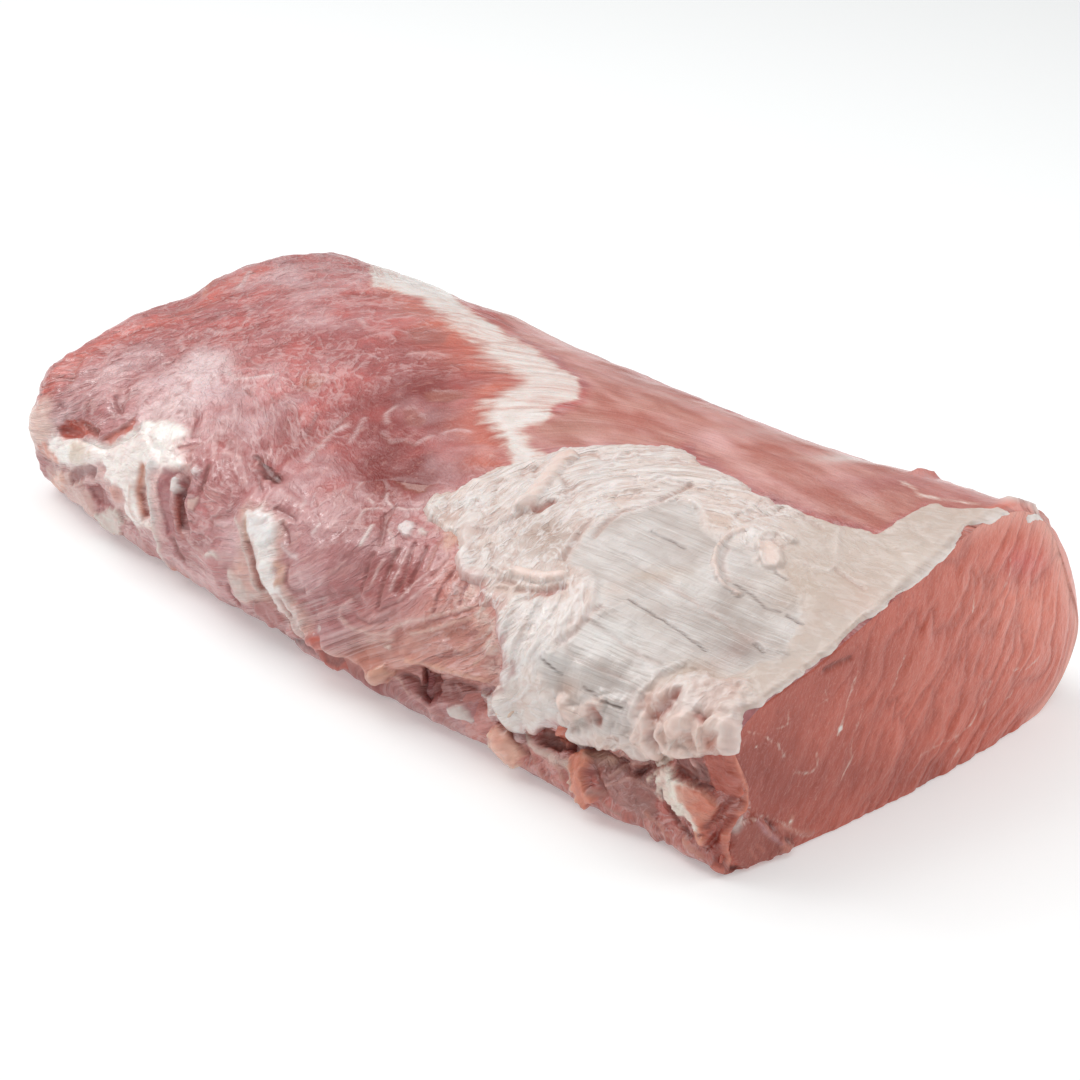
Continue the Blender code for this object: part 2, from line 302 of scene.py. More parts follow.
def cap_grid(arch, fine, swell):
    """A face across an end of the skin, inside its arch; swell gives the x of its points."""
    grid = across(arch, fine)
    rim = np.full(grid.shape[:2], 1e9)
    for point in arch[::2]:
        rim = np.minimum(rim, np.linalg.norm(grid[..., 1:] - point[1:], axis=-1))
    edge = grid[..., 0].copy()
    grid[..., 0] = swell(grid[..., 1], grid[..., 2], rim, edge)
    for rows in (np.s_[0, :], np.s_[-1, :], np.s_[:, -1]):
        grid[rows][..., 0] = edge[rows]
    return grid, rim


# ---------------------------------------------------------------- places on the surface
def to_path(places, path):
    """The distance from each place to a path of places."""
    best = np.full(places.shape[:-1], np.inf)
    for start, end in zip(path[:-1], path[1:]):
        run = end - start
        share = np.clip(((places - start) @ run) / max(run @ run, 1e-9), 0, 1)
        best = np.minimum(best, np.linalg.norm(places - start - share[..., None] * run, axis=-1))
    return best


def within(places, outline):
    """How far each place lies inside a closed outline; below 0 it is outside."""
    edge = to_path(places, np.vstack([outline, outline[:1]]))
    odd = np.zeros(edge.shape, bool)
    for (b0, g0), (b1, g1) in zip(outline, np.roll(outline, -1, 0)):
        if g0 != g1:
            crosses = (g0 > places[..., 1]) != (g1 > places[..., 1])
            odd ^= crosses & (places[..., 0] < (b1 - b0) * (places[..., 1] - g0) / (g1 - g0) + b0)
    return np.where(odd, edge, -edge)


class Surface:
    """A grid of points with outward normals, on which each point has a place in two distances."""

    def __init__(self, points, normals, places):
        self.points, self.normals, self.places = points, normals, places
        self.seen = ((np.array(CAMERA_PLACE) - points) * normals).sum(axis=-1) > 0
        self.photo = to_photo(points)

    def place_of(self, pixels, lift=0.0):
        """The places that the photograph shows at some pixels, for a layer that much above the surface."""
        photo = to_photo(self.points + lift * self.normals) if lift else self.photo
        slopes = [np.gradient(photo, axis=k) for k in (0, 1)]
        place_slopes = [np.gradient(self.places, axis=k) for k in (0, 1)]
        found = []
        for pixel in np.atleast_2d(np.array(pixels, float)):
            distance = np.where(self.seen, ((photo - pixel) ** 2).sum(axis=-1), np.inf)
            at = np.unravel_index(np.argmin(distance), distance.shape)
            jacobian = np.stack([slopes[0][at], slopes[1][at]], axis=1)
            step = np.clip(np.linalg.pinv(jacobian, rcond=0.05) @ (pixel - photo[at]), -1, 1)
            found.append(self.places[at] + step[0] * place_slopes[0][at] + step[1] * place_slopes[1][at])
        return np.array(found)

    def along(self, flows):
        """At each point, the direction in grid steps of the nearby flow lines, drawn on the photograph."""
        total = np.zeros(self.photo.shape)
        for flow in flows:
            line = np.array(flow, float)
            for start, end in zip(line[:-1], line[1:]):
                distance = to_path(self.photo, np.stack([start, end]))
                total += unit(end - start) / (distance[..., None] + 12) ** 3
        slopes = np.stack([np.gradient(self.photo, axis=k) for k in (0, 1)], axis=-1)
        det = slopes[..., 0, 0] * slopes[..., 1, 1] - slopes[..., 0, 1] * slopes[..., 1, 0]
        det = np.where(np.abs(det) < 0.5, 0.5 * np.where(det < 0, -1, 1), det)
        steps = np.stack([slopes[..., 1, 1] * total[..., 0] - slopes[..., 0, 1] * total[..., 1],
                          slopes[..., 0, 0] * total[..., 1] - slopes[..., 1, 0] * total[..., 0]],
                         axis=-1) / det[..., None]
        return unit(np.where(self.seen[..., None], unit(steps), (-1.0, 0.15)))


def fibre_places(surface, flows, limits=(1e9, 1e9)):
    """The distances along and across smooth fibres that follow the flow lines, at each point. Past the
    limits of back and girth the fibres run straight on."""
    slopes = [np.gradient(surface.places, axis=k) for k in (0, 1)]
    heading = surface.along(flows)
    along = unit(heading[..., :1] * slopes[0] + heading[..., 1:] * slopes[1])
    low, high = surface.places.min(axis=(0, 1)), np.minimum(surface.places.max(axis=(0, 1)), limits)
    scale = 2 / (high - low)
    powers = [(i, j) for i in range(FIBRE_DEGREE + 1) for j in range(FIBRE_DEGREE + 1 - i) if i + j]

    def terms(places, less_back=0, less_girth=0):
        """Each power term of the fit, or its slope along back or girth."""
        at = (places - low) * scale - 1
        columns = []
        for i, j in powers:
            factor = (i * scale[0]) ** less_back * (j * scale[1]) ** less_girth
            powered = at[..., 0] ** max(i - less_back, 0) * at[..., 1] ** max(j - less_girth, 0)
            columns.append(factor * powered)
        return np.stack(columns, axis=-1)

    some = (surface.places <= limits).all(axis=-1)
    some[np.arange(some.shape[0]) % 4 > 0] = False
    some[:, np.arange(some.shape[1]) % 4 > 0] = False
    heading = along[some]
    aside = np.stack([-heading[:, 1], heading[:, 0]], axis=1)
    slopes = [terms(surface.places[some], *less) for less in ((1, 0), (0, 1))]
    fits = []
    for rising, level in ((heading, aside), (aside, heading)):
        rows = [ways[:, :1] * slopes[0] + ways[:, 1:] * slopes[1] for ways in (level, rising)]
        wanted = np.concatenate([np.zeros(len(heading)), np.ones(len(heading))])
        fits.append(np.linalg.lstsq(np.vstack([3 * rows[0], rows[1]]), wanted, rcond=None)[0])
    held = np.minimum(surface.places, limits)
    return terms(held) @ np.stack(fits, axis=1) + (surface.places - held) * (-1.0, 1.0)


def bilinear(grid, at):
    """The grid's value at places given in grid steps."""
    at = np.stack([np.clip(at[..., k], 0, grid.shape[k] - 1.001) for k in (0, 1)], axis=-1)
    whole = np.floor(at).astype(int)
    i, j = whole[..., 0], whole[..., 1]
    u, v = (at - whole)[..., 0], (at - whole)[..., 1]
    if grid.ndim == 3:
        u, v = u[..., None], v[..., None]
    return ((1 - u) * (1 - v) * grid[i, j] + u * (1 - v) * grid[i + 1, j]
            + (1 - u) * v * grid[i, j + 1] + u * v * grid[i + 1, j + 1])


# ---------------------------------------------------------------- tables of marks
def read(word):
    """A word of a table: a name, a number, or the numbers that commas join."""
    if "," in word:
        return tuple(float(part) for part in word.split(","))
    return word if word[0].isalpha() else float(word)


def listed(text):
    """The words of one row of a table, or the points of one outline."""
    return [read(word) for word in text.split()]


def table(text):
    """The rows of a table. A line that starts with spaces goes on with the row before."""
    return [listed(line) for line in text.strip().replace("\n    ", " ").split("\n")]


# ---------------------------------------------------------------- what the photograph shows, by its pixels
# Lines along the fibres of the flesh, of the cut face and, further down, of the fat.
FLOWS = table("""
60,400 130,340 220,300 330,270
100,420 200,370 320,335 440,320 500,345
190,450 300,425 380,385 490,372
260,560 330,480 400,425 480,395
300,600 350,540 400,485 440,455
340,625 385,560 425,500
390,650 430,600 450,560
300,615 400,655 500,686
430,645 465,615 500,570
480,300 620,370 800,445 1020,500
540,430 640,402 760,440 900,498
250,612 400,700 560,800 680,860
60,450 110,520 180,590
200,470 205,520 215,580
""")
CUT_FLOWS = table("""
1004,531 983,582 958,643 930,710 894,786
1032,564 1021,620 1001,684 968,735
909,590 894,643 876,684 850,743 820,806
802,700 790,760 776,810
1060,590 1064,630 1050,680 1020,712
850,650 838,700 810,770 790,810
""")

# The strip of fat across the top, and its frayed left edge.
STRIP = listed("""
    370,262 395,262 440,274 457,286 465,307 475,320 494,327 519,342 539,350 554,362 569,372 584,387 579,399
    554,409 544,421 529,424 517,427 524,434 529,444 544,452 575,462 509,472 502,449 499,432 480,424 484,412
    482,402 499,394 519,382 509,374 494,369 475,357 462,360 482,350 470,342 450,330 432,314 418,300 395,292
    368,289
""")
STRIP_LEFT = listed("400,292 435,312 470,345 512,380 490,400 486,425 497,455")
# The patch's outline over the top, on the cut face and below; its silverskin, with the splits in it; and
# its lumpy fat.
PATCH = listed("""
    424,506 432,494 458,487 475,478 500,466 540,455 562,446 600,443 640,441 672,442 690,448 700,460 722,468
    745,482 770,497 800,509 830,520 848,523 876,531 893,518 918,504 940,500 960,505 990,505 1020,513
    1046,519
""")
PATCH_ON_FACE = listed("""
    1044,520 1021,520 993,521 972,528 963,541 945,561 919,582 899,594 884,609 853,628 828,649 810,667
    797,679 777,697 761,708 748,711 740,729 738,752
""")
PATCH_BELOW = listed("""
    721,755 688,757 675,762 655,762 637,760 609,747 578,743 563,733 540,727 522,736 504,727 489,713 484,695
    499,684 501,668 497,636 494,608 479,600 479,583 462,578 458,556 458,534 445,527 428,520
""")
SILVER = listed("""
    568,558 583,535 604,520 642,509 665,499 695,504 706,527 718,540 731,540 754,550 759,565 787,578 803,599
    805,624 785,650 754,665 726,672 685,665 657,670 644,688 632,708 634,739 606,736 578,724 566,700 545,690
    538,674 545,657 565,642 583,619 596,599 586,573
""")
LUMPY_FAT = listed("560,705 590,690 630,700 650,690 700,672 745,680 745,705 738,752 640,760 600,746 570,738")
SPLITS = table("""
651,530 668,538 685,548
628,599 665,619 706,650
734,581 752,593 764,605 780,610
786,614 803,624
540,657 560,675
581,687 600,698 621,708
775,572 787,579
754,642 763,651
""")
FAT_FLOWS = table("""
425,512 450,494 490,478 540,462
462,570 466,545 478,522 505,508 530,492
486,650 498,625 510,600 530,580
510,664 530,630 548,598
548,655 566,625 588,592
570,560 588,532 620,508 660,492 700,486
560,470 600,462 650,462 700,475
690,480 740,505 800,540 850,560
720,560 770,590 820,620
640,610 700,650 740,680
540,670 600,705 650,735
500,690 540,715 580,735
650,745 670,710 700,670 735,640
700,735 740,700 790,660
""")

# The patch's relief: the widths of its folds, strands, ribbons, crimps and knobs, how far the whole of it
# stands out, its thinnest place, and its splits.
FOLD_WIDTH = 6.5
STRAND_WIDTH = 2.6
RIBBON_WIDTH = 5.0
CRIMP_WIDTH = 4.5
KNOB_WIDTHS = (2.7, 1.6)
PATCH_HEIGHT = 1.0
PATCH_THINNEST = 0.35
SPLIT_WIDTH = 0.28
SPLIT_DEPTH = 0.55
# Marks that rise this much keep the folds away from them, and higher ones are rounded like a cord.
CALM_RISE = 0.9
CORD_RISE = 1.2
# Marks on the patch: the name, the width, the height, below 0 for a crease, and the line.
FAT_MARKS = table("""
finger 1.9 1.9 522,508 531,499 541,489 549,477 558,466 570,456
finger_tip 1.6 0.9 521,507 526,505
under_finger 1.3 -1.5 536,509 545,506 552,502
hollow 1.1 -0.9 569,481 573,490 571,502
hollow_left 0.6 -0.7 563,478 566,486 567,493
hollow_right 0.9 -0.7 574,485 584,483
roll 1.35 1.4 516,572 527,575 545,578 562,577
roll_left 0.8 0.8 486,563 498,569 512,574
under_roll 1.3 -1.6 537,592 548,592 562,588
under_roll_left 0.8 -1 498,579 513,583
under_roll_middle 0.9 -1 518,589 532,590
pit_left 0.8 -0.7 497,588 506,589
pit_low 0.9 -0.8 527,598 533,594
thick_edge 2.4 1.1 474,518 465,536 461,553 463,572 478,575
knob 1.4 0.9 463,487 472,481 482,483
far_left_lobe 1.6 0.7 432,514 442,504 456,503
ridge 1.1 0.8 478,528 490,527 505,519 518,512
strand_a 0.9 0.7 541,594 530,611 520,632 512,652
strand_b 0.9 0.7 562,592 551,614 540,640 530,656
strand_c 0.9 0.6 584,588 571,612 557,640
strand_d 0.8 0.7 517,597 508,615 499,642
strand_e 0.8 0.5 596,580 590,600 577,624
fold_a 1 0.7 561,556 575,535 592,520 606,510
fold_b 0.9 0.7 592,472 613,464 622,450 632,450 640,462
fold_c 0.9 0.7 596,500 612,495 640,490 662,484
fold_d 0.8 0.5 640,478 652,474 668,478
crease_a 0.8 -0.9 563,558 572,543 580,533 593,517
crease_b 0.7 -0.8 594,535 606,521 622,512 646,505 668,497 690,485
crease_c 0.7 -0.5 522,514 508,521 492,530
crease_d 0.8 -0.7 535,468 537,477
crease_e 0.8 -0.5 490,545 494,556
film_edge 0.8 0.5 838,528 837,548 833,567
film_low 0.8 0.4 772,548 800,560 830,569
film_top 0.8 0.5 706,512 740,512 775,505 800,508
nick 0.6 -0.5 800,515 813,522 820,527
nick_low 0.5 -0.5 835,568 850,578 864,588
ribbon_end 1 -0.6 563,640 574,631 584,620 590,610 600,606
ribbon_top 1 0.4 600,612 618,606 630,600
ribbon_line_a 0.5 -0.35 588,619 610,634 630,648 648,659 662,665
ribbon_line_b 0.5 -0.3 563,642 567,653 580,660 603,669 628,680
ribbon_line_c 0.5 -0.3 655,575 680,590 705,607 735,628 748,638
ribbon_line_d 0.45 -0.25 632,562 655,571 690,596 718,617
ribbon_line_e 0.45 -0.25 712,561 735,575 760,590 785,601
step 1.2 0.8 684,661 671,667 656,672 653,682 640,692 634,706
brown_dip 3.4 -0.4 702,668 716,662 733,650 746,640
tail 0.6 0.5 758,640 772,648 786,652
left_lobe 1.9 1.5 645,722 640,738 652,752
lobe_a 1.5 1.6 676,727 688,718 700,722 700,735
lobe_b 1.3 1.5 704,745 706,730 716,722 730,730 732,748
lobe_c 1.2 1.3 660,735 668,748 686,752
dip_a 1 -1.5 652,735 658,741
dip_b 1.2 -1.3 655,717 668,706 678,694
dip_c 0.9 -1.3 700,716 706,720
knobs_left 1.3 1.5 562,700 574,715 590,706 602,702
tooth_gap 1 -1.1 600,722 596,708
cut_ridge 0.8 0.5 858,622 866,611 878,606
curl 0.55 1.2 745,530 733,533 722,541 716,550 714,562 717,574 724,584 732,588 738,592
curl_shade 0.6 -0.5 728,545 722,556 723,568 729,578
ridge_top 0.8 0.9 684,497 692,499 700,507 704,516 706,526
scrap_loop 0.8 1.1 762,552 757,542 760,536 768,533 780,535 794,541
scrap_body 2 1.2 766,546 771,556 773,563
scrap_rim 0.7 0.7 758,547 762,557 765,567 776,568 781,560 778,553
scrap_tag 0.8 0.6 748,549 754,553 758,558
scrap_gap 0.6 -0.6 764,541 772,540 784,546
sheet_fold 0.9 0.5 712,504 740,512 764,510 786,506 802,512
crumb 0.8 0.7 780,496 784,500 790,503
""")


def rgb(red, green, blue):
    """A linear colour from the 0 to 255 values of a screen."""
    values = np.array([red, green, blue]) / 255
    return np.where(values <= 0.04045, values / 12.92, ((values + 0.055) / 1.055) ** 2.4)


RED = rgb(203, 99, 94)
MAUVE = rgb(184, 118, 120)
DEEP = rgb(150, 70, 66)
BROWN = rgb(126, 16, 3)
# A pale pink film of fat on the flesh; also the colour of the painted sheen.
FILM_AND_SHEEN = rgb(232, 196, 198)
ORANGE = rgb(212, 116, 96)
PEACH = rgb(226, 170, 150)
MEMBRANE = rgb(196, 132, 119)
WHITE_FAT = rgb(241, 231, 226)
CREAM = rgb(232, 209, 198)
SILVERSKIN = rgb(230, 221, 216)
SILVER_SHADE = rgb(194, 177, 168)
PINK_FAT = rgb(228, 190, 176)
BAND_FAT = rgb(205, 184, 170)
FRESH_CUT = rgb(205, 99, 78)
# Painted light and painted shade for the cut face; the shade colour also tints the end under it.
PAINTED_LIGHT_CUT = rgb(234, 131, 108)
PAINTED_SHADE_CUT = rgb(146, 53, 37)
# Painted shade for the pits and dips of the patch, and for its cords a pinker colour with a painted
# highlight.
FAT_PIT_SHADE = rgb(178, 100, 84)
FAT_DIP_SHADE = rgb(198, 158, 144)
FAT_CORD_AND_HIGHLIGHT = rgb(248, 220, 208)
FLESH_GLOW = (1.0, 0.35, 0.25)


# ---------------------------------------------------------------- meshes
def face_grid(index):
    """Four-sided faces over a grid of vertex numbers."""
    return np.stack([index[:-1, :-1], index[1:, :-1], index[1:, 1:], index[:-1, 1:]],
                    axis=-1).reshape(-1, 4)


def make_mesh(name, points, faces, attributes, materials, sharp=None):
    """A mesh object from millimetre points, with a value for each point in each named attribute."""
    mesh = bpy.data.meshes.new(name)
    mesh.from_pydata(((points - CENTRE) * MM).tolist(), [], [list(face) for face in faces])
    for label, values in attributes.items():
        if values.ndim == 1:
            kind, field = "FLOAT", "value"
        elif values.shape[1] == 2:
            kind, field, values = "FLOAT_VECTOR", "vector", np.pad(values, ((0, 0), (0, 1)))
        else:
            kind, field, values = "FLOAT_COLOR", "color", np.column_stack([values, np.ones(len(values))])
        layer = mesh.attributes.new(label, kind, "POINT")
        layer.data.foreach_set(field, values.astype(np.float32).ravel())
    for material in materials:
        mesh.materials.append(material)
    mesh.validate()
    mesh.shade_smooth()
    if sharp:
        mesh.set_sharp_from_angle(angle=math.radians(sharp))
    piece = bpy.data.objects.new(name, mesh)
    bpy.context.scene.collection.objects.link(piece)
    return piece


def closed_sheet(top, bottom, quads):
    """Points and faces of a closed sheet: its top, its bottom and the wall round their edge."""
    used = np.unique(quads)
    renumber = np.full(len(top), -1)
    renumber[used] = np.arange(len(used))
    quads = renumber[quads]
    count = len(used)
    runs = np.concatenate([np.stack([quads[:, k], quads[:, (k + 1) % 4]], axis=1) for k in range(4)])
    there = runs[:, 0] * count + runs[:, 1]
    back_again = runs[:, 1] * count + runs[:, 0]
    rim = runs[~np.isin(back_again, there)]
    wall = np.stack([rim[:, 1], rim[:, 0], rim[:, 0] + count, rim[:, 1] + count], axis=1)
    faces = np.vstack([quads, quads[:, ::-1] + count, wall])
    return np.vstack([top[used], bottom[used]]), faces, used


def sheet_mesh(name, top, bottom, keep, values, material, sharp=None):
    """A closed sheet's mesh, from grids of its top and bottom and of the values on both, where it is kept."""
    whole = keep[:-1, :-1] & keep[1:, :-1] & keep[1:, 1:] & keep[:-1, 1:]
    quads = face_grid(np.arange(keep.size).reshape(keep.shape))[whole.ravel()]
    flat = lambda grid: grid.reshape(-1, *grid.shape[2:])
    points, faces, used = closed_sheet(flat(top), flat(bottom), quads)
    values = {label: np.concatenate([flat(value)[used]] * 2) for label, value in values.items()}
    return make_mesh(name, points, faces, values, [material], sharp)


# ---------------------------------------------------------------- the loin itself
# The lumps of the skin, and how much rougher they are on the front, which ends at a girth.
LUMP_SIZES = (34.0, 13.0)
LUMP_HEIGHTS = (1.1, 0.5)
FRONT_ROUGHNESS = 1.5
FRONT_GIRTH = 62.0
# How far the strip of fat, the grain of the flesh and the lip stand out, and the hollow under the lip.
STRIP_HEIGHT = 0.45
GRAIN_HEIGHT = 0.22
LIP_HEIGHT = 1.5
LIP_HOLLOW = 2.8
LIP = listed("""
    292,608 299,616 312,636 337,649 363,665 377,679 392,668 417,666 446,672 471,678 490,682 500,686
""")
# Creases in the skin: the name, the width, the depth and the line.
CREASES = table("""
slit 1.3 3 182,482 178,500 180,519 183,532
corner_fold 1.3 2.2 146,468 139,487 142,501 147,516
beside_tongue 1.2 1.5 245,528 252,551 259,573 264,588 275,606
above_corner_fat 1.6 1.8 58,428 78,441 104,448 120,442 140,428
pit 2.4 1.5 262,460 270,472 279,478
pit_tail 1.3 0.7 279,477 296,492 312,505
under_patch 1.6 2 490,694 510,728 540,738 580,748 625,764
hole 1.9 3.6 424,672 423,684 427,696
cave 3 2.6 555,744 585,752 620,764
gap 1.6 2.2 640,772 650,760 664,757
far_notch 2 1.2 96,375 108,352
far_dent 1.8 1.4 120,405 122,388
far_dent_2 1.2 0.9 198,405 200,425
""")
# Mounds on the skin: the name, the width, the height and the pixel of the middle.
MOUNDS = table("""
lump_a 4.2 2.2 505,710
lump_b 3.4 2.2 506,742
lump_c 6 1.8 450,700
lump_d 6.5 1.8 610,785
lump_e 6 1.2 640,800
flap_under_lip 4 2.4 338,654
knob 3 1.8 382,672
corner 6 2 700,800
corner_low 5 1.6 690,845
left_low 6 1.4 90,505
left_mid 7 1.6 215,560
""")
# Wide swells and dips of the skin: the width, the height and the (back, girth) of the middle.
SWELLS = table("""
9 -2.4 282,97
13 0.6 33,143
14 1.4 200,165
34 -1.3 80,148
14 2 4,186
""")
# Veins on the cut face: the width and the line.
VEINS = table("""
0.55 858,671 849,697 842,725 839,735
0.35 863,710 853,738 851,750 853,758 847,768 839,786
0.4 816,753 817,766 810,773 794,773
0.35 745,731 761,735 779,745 784,756
0.3 789,712 787,725 777,729
0.45 991,682 986,702 970,725 960,735 940,743 924,752 917,758
0.35 1037,659 1027,669 1011,671
0.3 975,595 973,610
0.3 955,735 958,748 950,763
0.3 820,704 827,700 825,690
0.45 733,824 748,818 766,816 784,824 802,836 812,836
0.3 1011,560 1009,578 1003,590
0.25 905,655 898,672 893,690
0.25 1015,690 1007,700 1003,716
""")
# Spots of fat on the cut face: the middle and the width.
FAT_SPOTS = table("""
841,729 0.9
756,747 0.4
816,799 0.3
790,821 0.6
973,611 0.3
""")
# The smooth membrane right of the strip, with soft ovals: the middle, the half sizes, the weight and the
# colour, which is a linear one.
MEMBRANE_AREA = listed("""
    484,290 600,335 760,405 900,455 1070,498 1046,519 985,512 925,504 876,530 830,520 760,492 690,444
    562,446 536,446 525,430 584,402 590,386 562,360 522,338 480,308
""")
# The two pale thin ovals along the far top edge are painted highlight.
MEMBRANE_PLACES = table("""
880,484 50,9 0.6 0.4,0.1,0.095
950,496 40,7 0.5 0.42,0.11,0.1
560,424 34,14 0.7 0.47,0.2,0.15
820,505 50,16 0.2 0.44,0.16,0.12
850,456 44,5 0.7 0.8,0.66,0.62
560,352 36,8 0.3 0.52,0.16,0.12
640,384 40,12 0.35 0.42,0.15,0.12
770,430 50,7 0.4 0.7,0.45,0.42
""")
# The upper rim of the far end, which is redder.
FAR_RIM = listed("40,400 70,364 112,338 170,317 206,300 218,286 262,272")

# White streaks of fat on the skin: the weight, the width in millimetres and the line.
FAT_STREAKS = table("""
0.55 1.2 903,481 922,494 950,499 978,504
0.55 4.5 470,590 482,612 490,640 492,668
0.5 3 430,512 444,524 456,540
""")

# Soft ovals of other colours on the skin, on the photograph: the middle, the half sizes and the weight.
DARK_PLACES = table("""
450,335 50,20 0.5
430,390 70,30 0.6
398,475 42,20 0.9
330,355 60,16 0.35
470,450 36,26 0.5
150,345 50,14 0.3
440,690 30,16 0.4
350,655 40,12 0.5
300,440 40,30 0.5
370,520 50,40 0.3
""")
BROWN_PLACES = table("""
412,468 52,30 1
408,470 36,18 0.55
440,404 56,30 1
476,440 26,26 0.8
380,416 50,26 0.65
445,345 44,18 0.6
335,545 56,34 0.5
400,580 44,40 0.65
362,676 50,16 0.75
465,715 60,20 0.4
335,330 60,18 0.3
320,470 34,26 0.4
250,480 40,30 0.25
""")
# Painted sheen: pale ovals where the wet flesh shines with the light.
PAINTED_SHEEN_PLACES = table("""
226,279 20,12 0.5
208,385 62,30 1
120,368 34,22 0.4
180,425 60,22 0.5
285,278 70,16 0.45
235,410 36,22 0.5
320,320 40,9 0.3
330,560 46,36 0.3
235,545 12,50 0.5
60,425 14,26 0.6
400,300 60,10 0.2
420,540 40,30 0.3
""")
ORANGE_PLACES = table("""
452,610 34,50 0.75
470,560 24,30 0.4
400,660 60,9 0.7
520,330 44,10 0.5
440,330 40,18 0.3
""")

# The ragged front: areas and lines drawn on it, each with its feather or width and its rise in
# millimetres, its screen colour and its pixels.
SIDE_OUTLINE = listed("""
    462,690 486,688 500,684 540,700 600,720 660,740 735,745 752,780 756,810 742,850 740,880 716,884 690,872
    640,846 590,824 540,800 490,774 462,756
""")
# The dark colours of the sunk areas are painted shade in the crevices.
SIDE_AREAS = table("""
1.2 0.3 150,102,98 589,751 630,752 663,760 658,780 655,815 640,818 600,790 592,770
1 -1.8 108,42,34 536,722 556,733 590,733 614,742 604,750 575,752 553,749 540,742
0.8 0.5 148,96,90 540,724 553,728 558,738 548,742 540,738
0.8 0.5 150,92,84 554,740 566,738 572,748 562,750
0.8 0.6 152,96,88 580,738 594,736 600,746 588,750
0.7 2 192,108,88 562,722 573,724 572,738 567,746 562,738
1.4 2.2 206,128,106 568,765 574,754 588,752 596,760 588,772 590,786 597,797 589,804 581,797 572,783
1.5 1.6 216,166,150 491,731 500,725 512,729 522,741 526,754 517,764 504,757 494,743
1.2 1.2 228,200,184 492,700 500,690 512,688 520,696 521,708 510,716 498,714
1.3 1.9 232,222,216 663,762 673,764 677,776 682,780 698,781 713,795 719,804 711,822 703,833 696,831 684,814
    675,804 661,802 658,791 658,776
2.2 0.2 208,132,112 682,786 698,781 713,795 719,804 711,822 703,830 695,814 686,798
1 -0.7 134,84,80 673,752 700,750 706,768 712,784 690,782 676,774
1.8 0.7 176,90,72 702,752 736,752 740,772 745,792 724,796 712,784 706,766
0.9 0.8 180,98,84 705,862 716,861 725,866 724,874 716,877 708,873
""")
# The dark sunk lines are painted shade in the gaps; the one right of the tongue flap is its painted shadow.
SIDE_LINES = table("""
1.2 1.4 214,140,122 738,754 741,772 747,790 746,802 736,815 726,828 723,842 725,852 732,862 742,869
1 0.9 196,112,94 740,790 728,803 718,815 709,828 702,842
1 -1.3 132,48,36 734,798 724,806 714,818 709,824
0.9 -1.1 146,58,44 734,816 724,826 714,838 708,846
1.1 -1.3 138,50,38 717,840 719,852 724,858
0.8 -1.1 104,40,32 693,783 702,785 711,788
0.8 0.6 224,200,188 569,764 571,778 577,791 586,803
1.3 -1.4 116,54,44 594,770 598,783 603,794
1.3 0.6 194,174,168 518,716 526,733 535,748 552,758 567,764
0.7 0.6 224,206,194 492,733 498,748 507,759 518,764
1.1 -1.1 128,58,48 514,732 521,742 526,752
0.7 -0.8 204,128,110 486,705 492,706
0.7 -0.9 150,80,70 496,721 505,731
0.5 0.4 186,140,132 600,762 625,752 650,750
0.5 0.4 186,140,132 610,775 632,764 652,764
0.5 0.4 180,130,124 604,786 630,778 655,790
0.9 0.5 204,166,152 592,754 604,756 616,760
0.7 0.6 178,132,126 592,789 603,796
0.6 0.5 170,126,120 601,800 610,808 620,814
0.6 0.7 214,190,180 649,779 657,771 665,763
0.8 0.5 214,176,174 688,758 693,765
0.7 0.6 226,172,152 697,833 701,842 703,838
0.9 0.5 172,114,106 526,748 538,768 556,790
0.7 0.5 186,138,128 556,766 562,777
0.9 0.6 190,140,130 683,838 690,847 700,857
0.8 -0.7 112,60,54 664,790 668,806 678,822 690,836
0.7 0.4 190,132,120 646,812 656,824 668,836
0.8 -0.8 120,62,56 640,772 652,764 664,757
""")

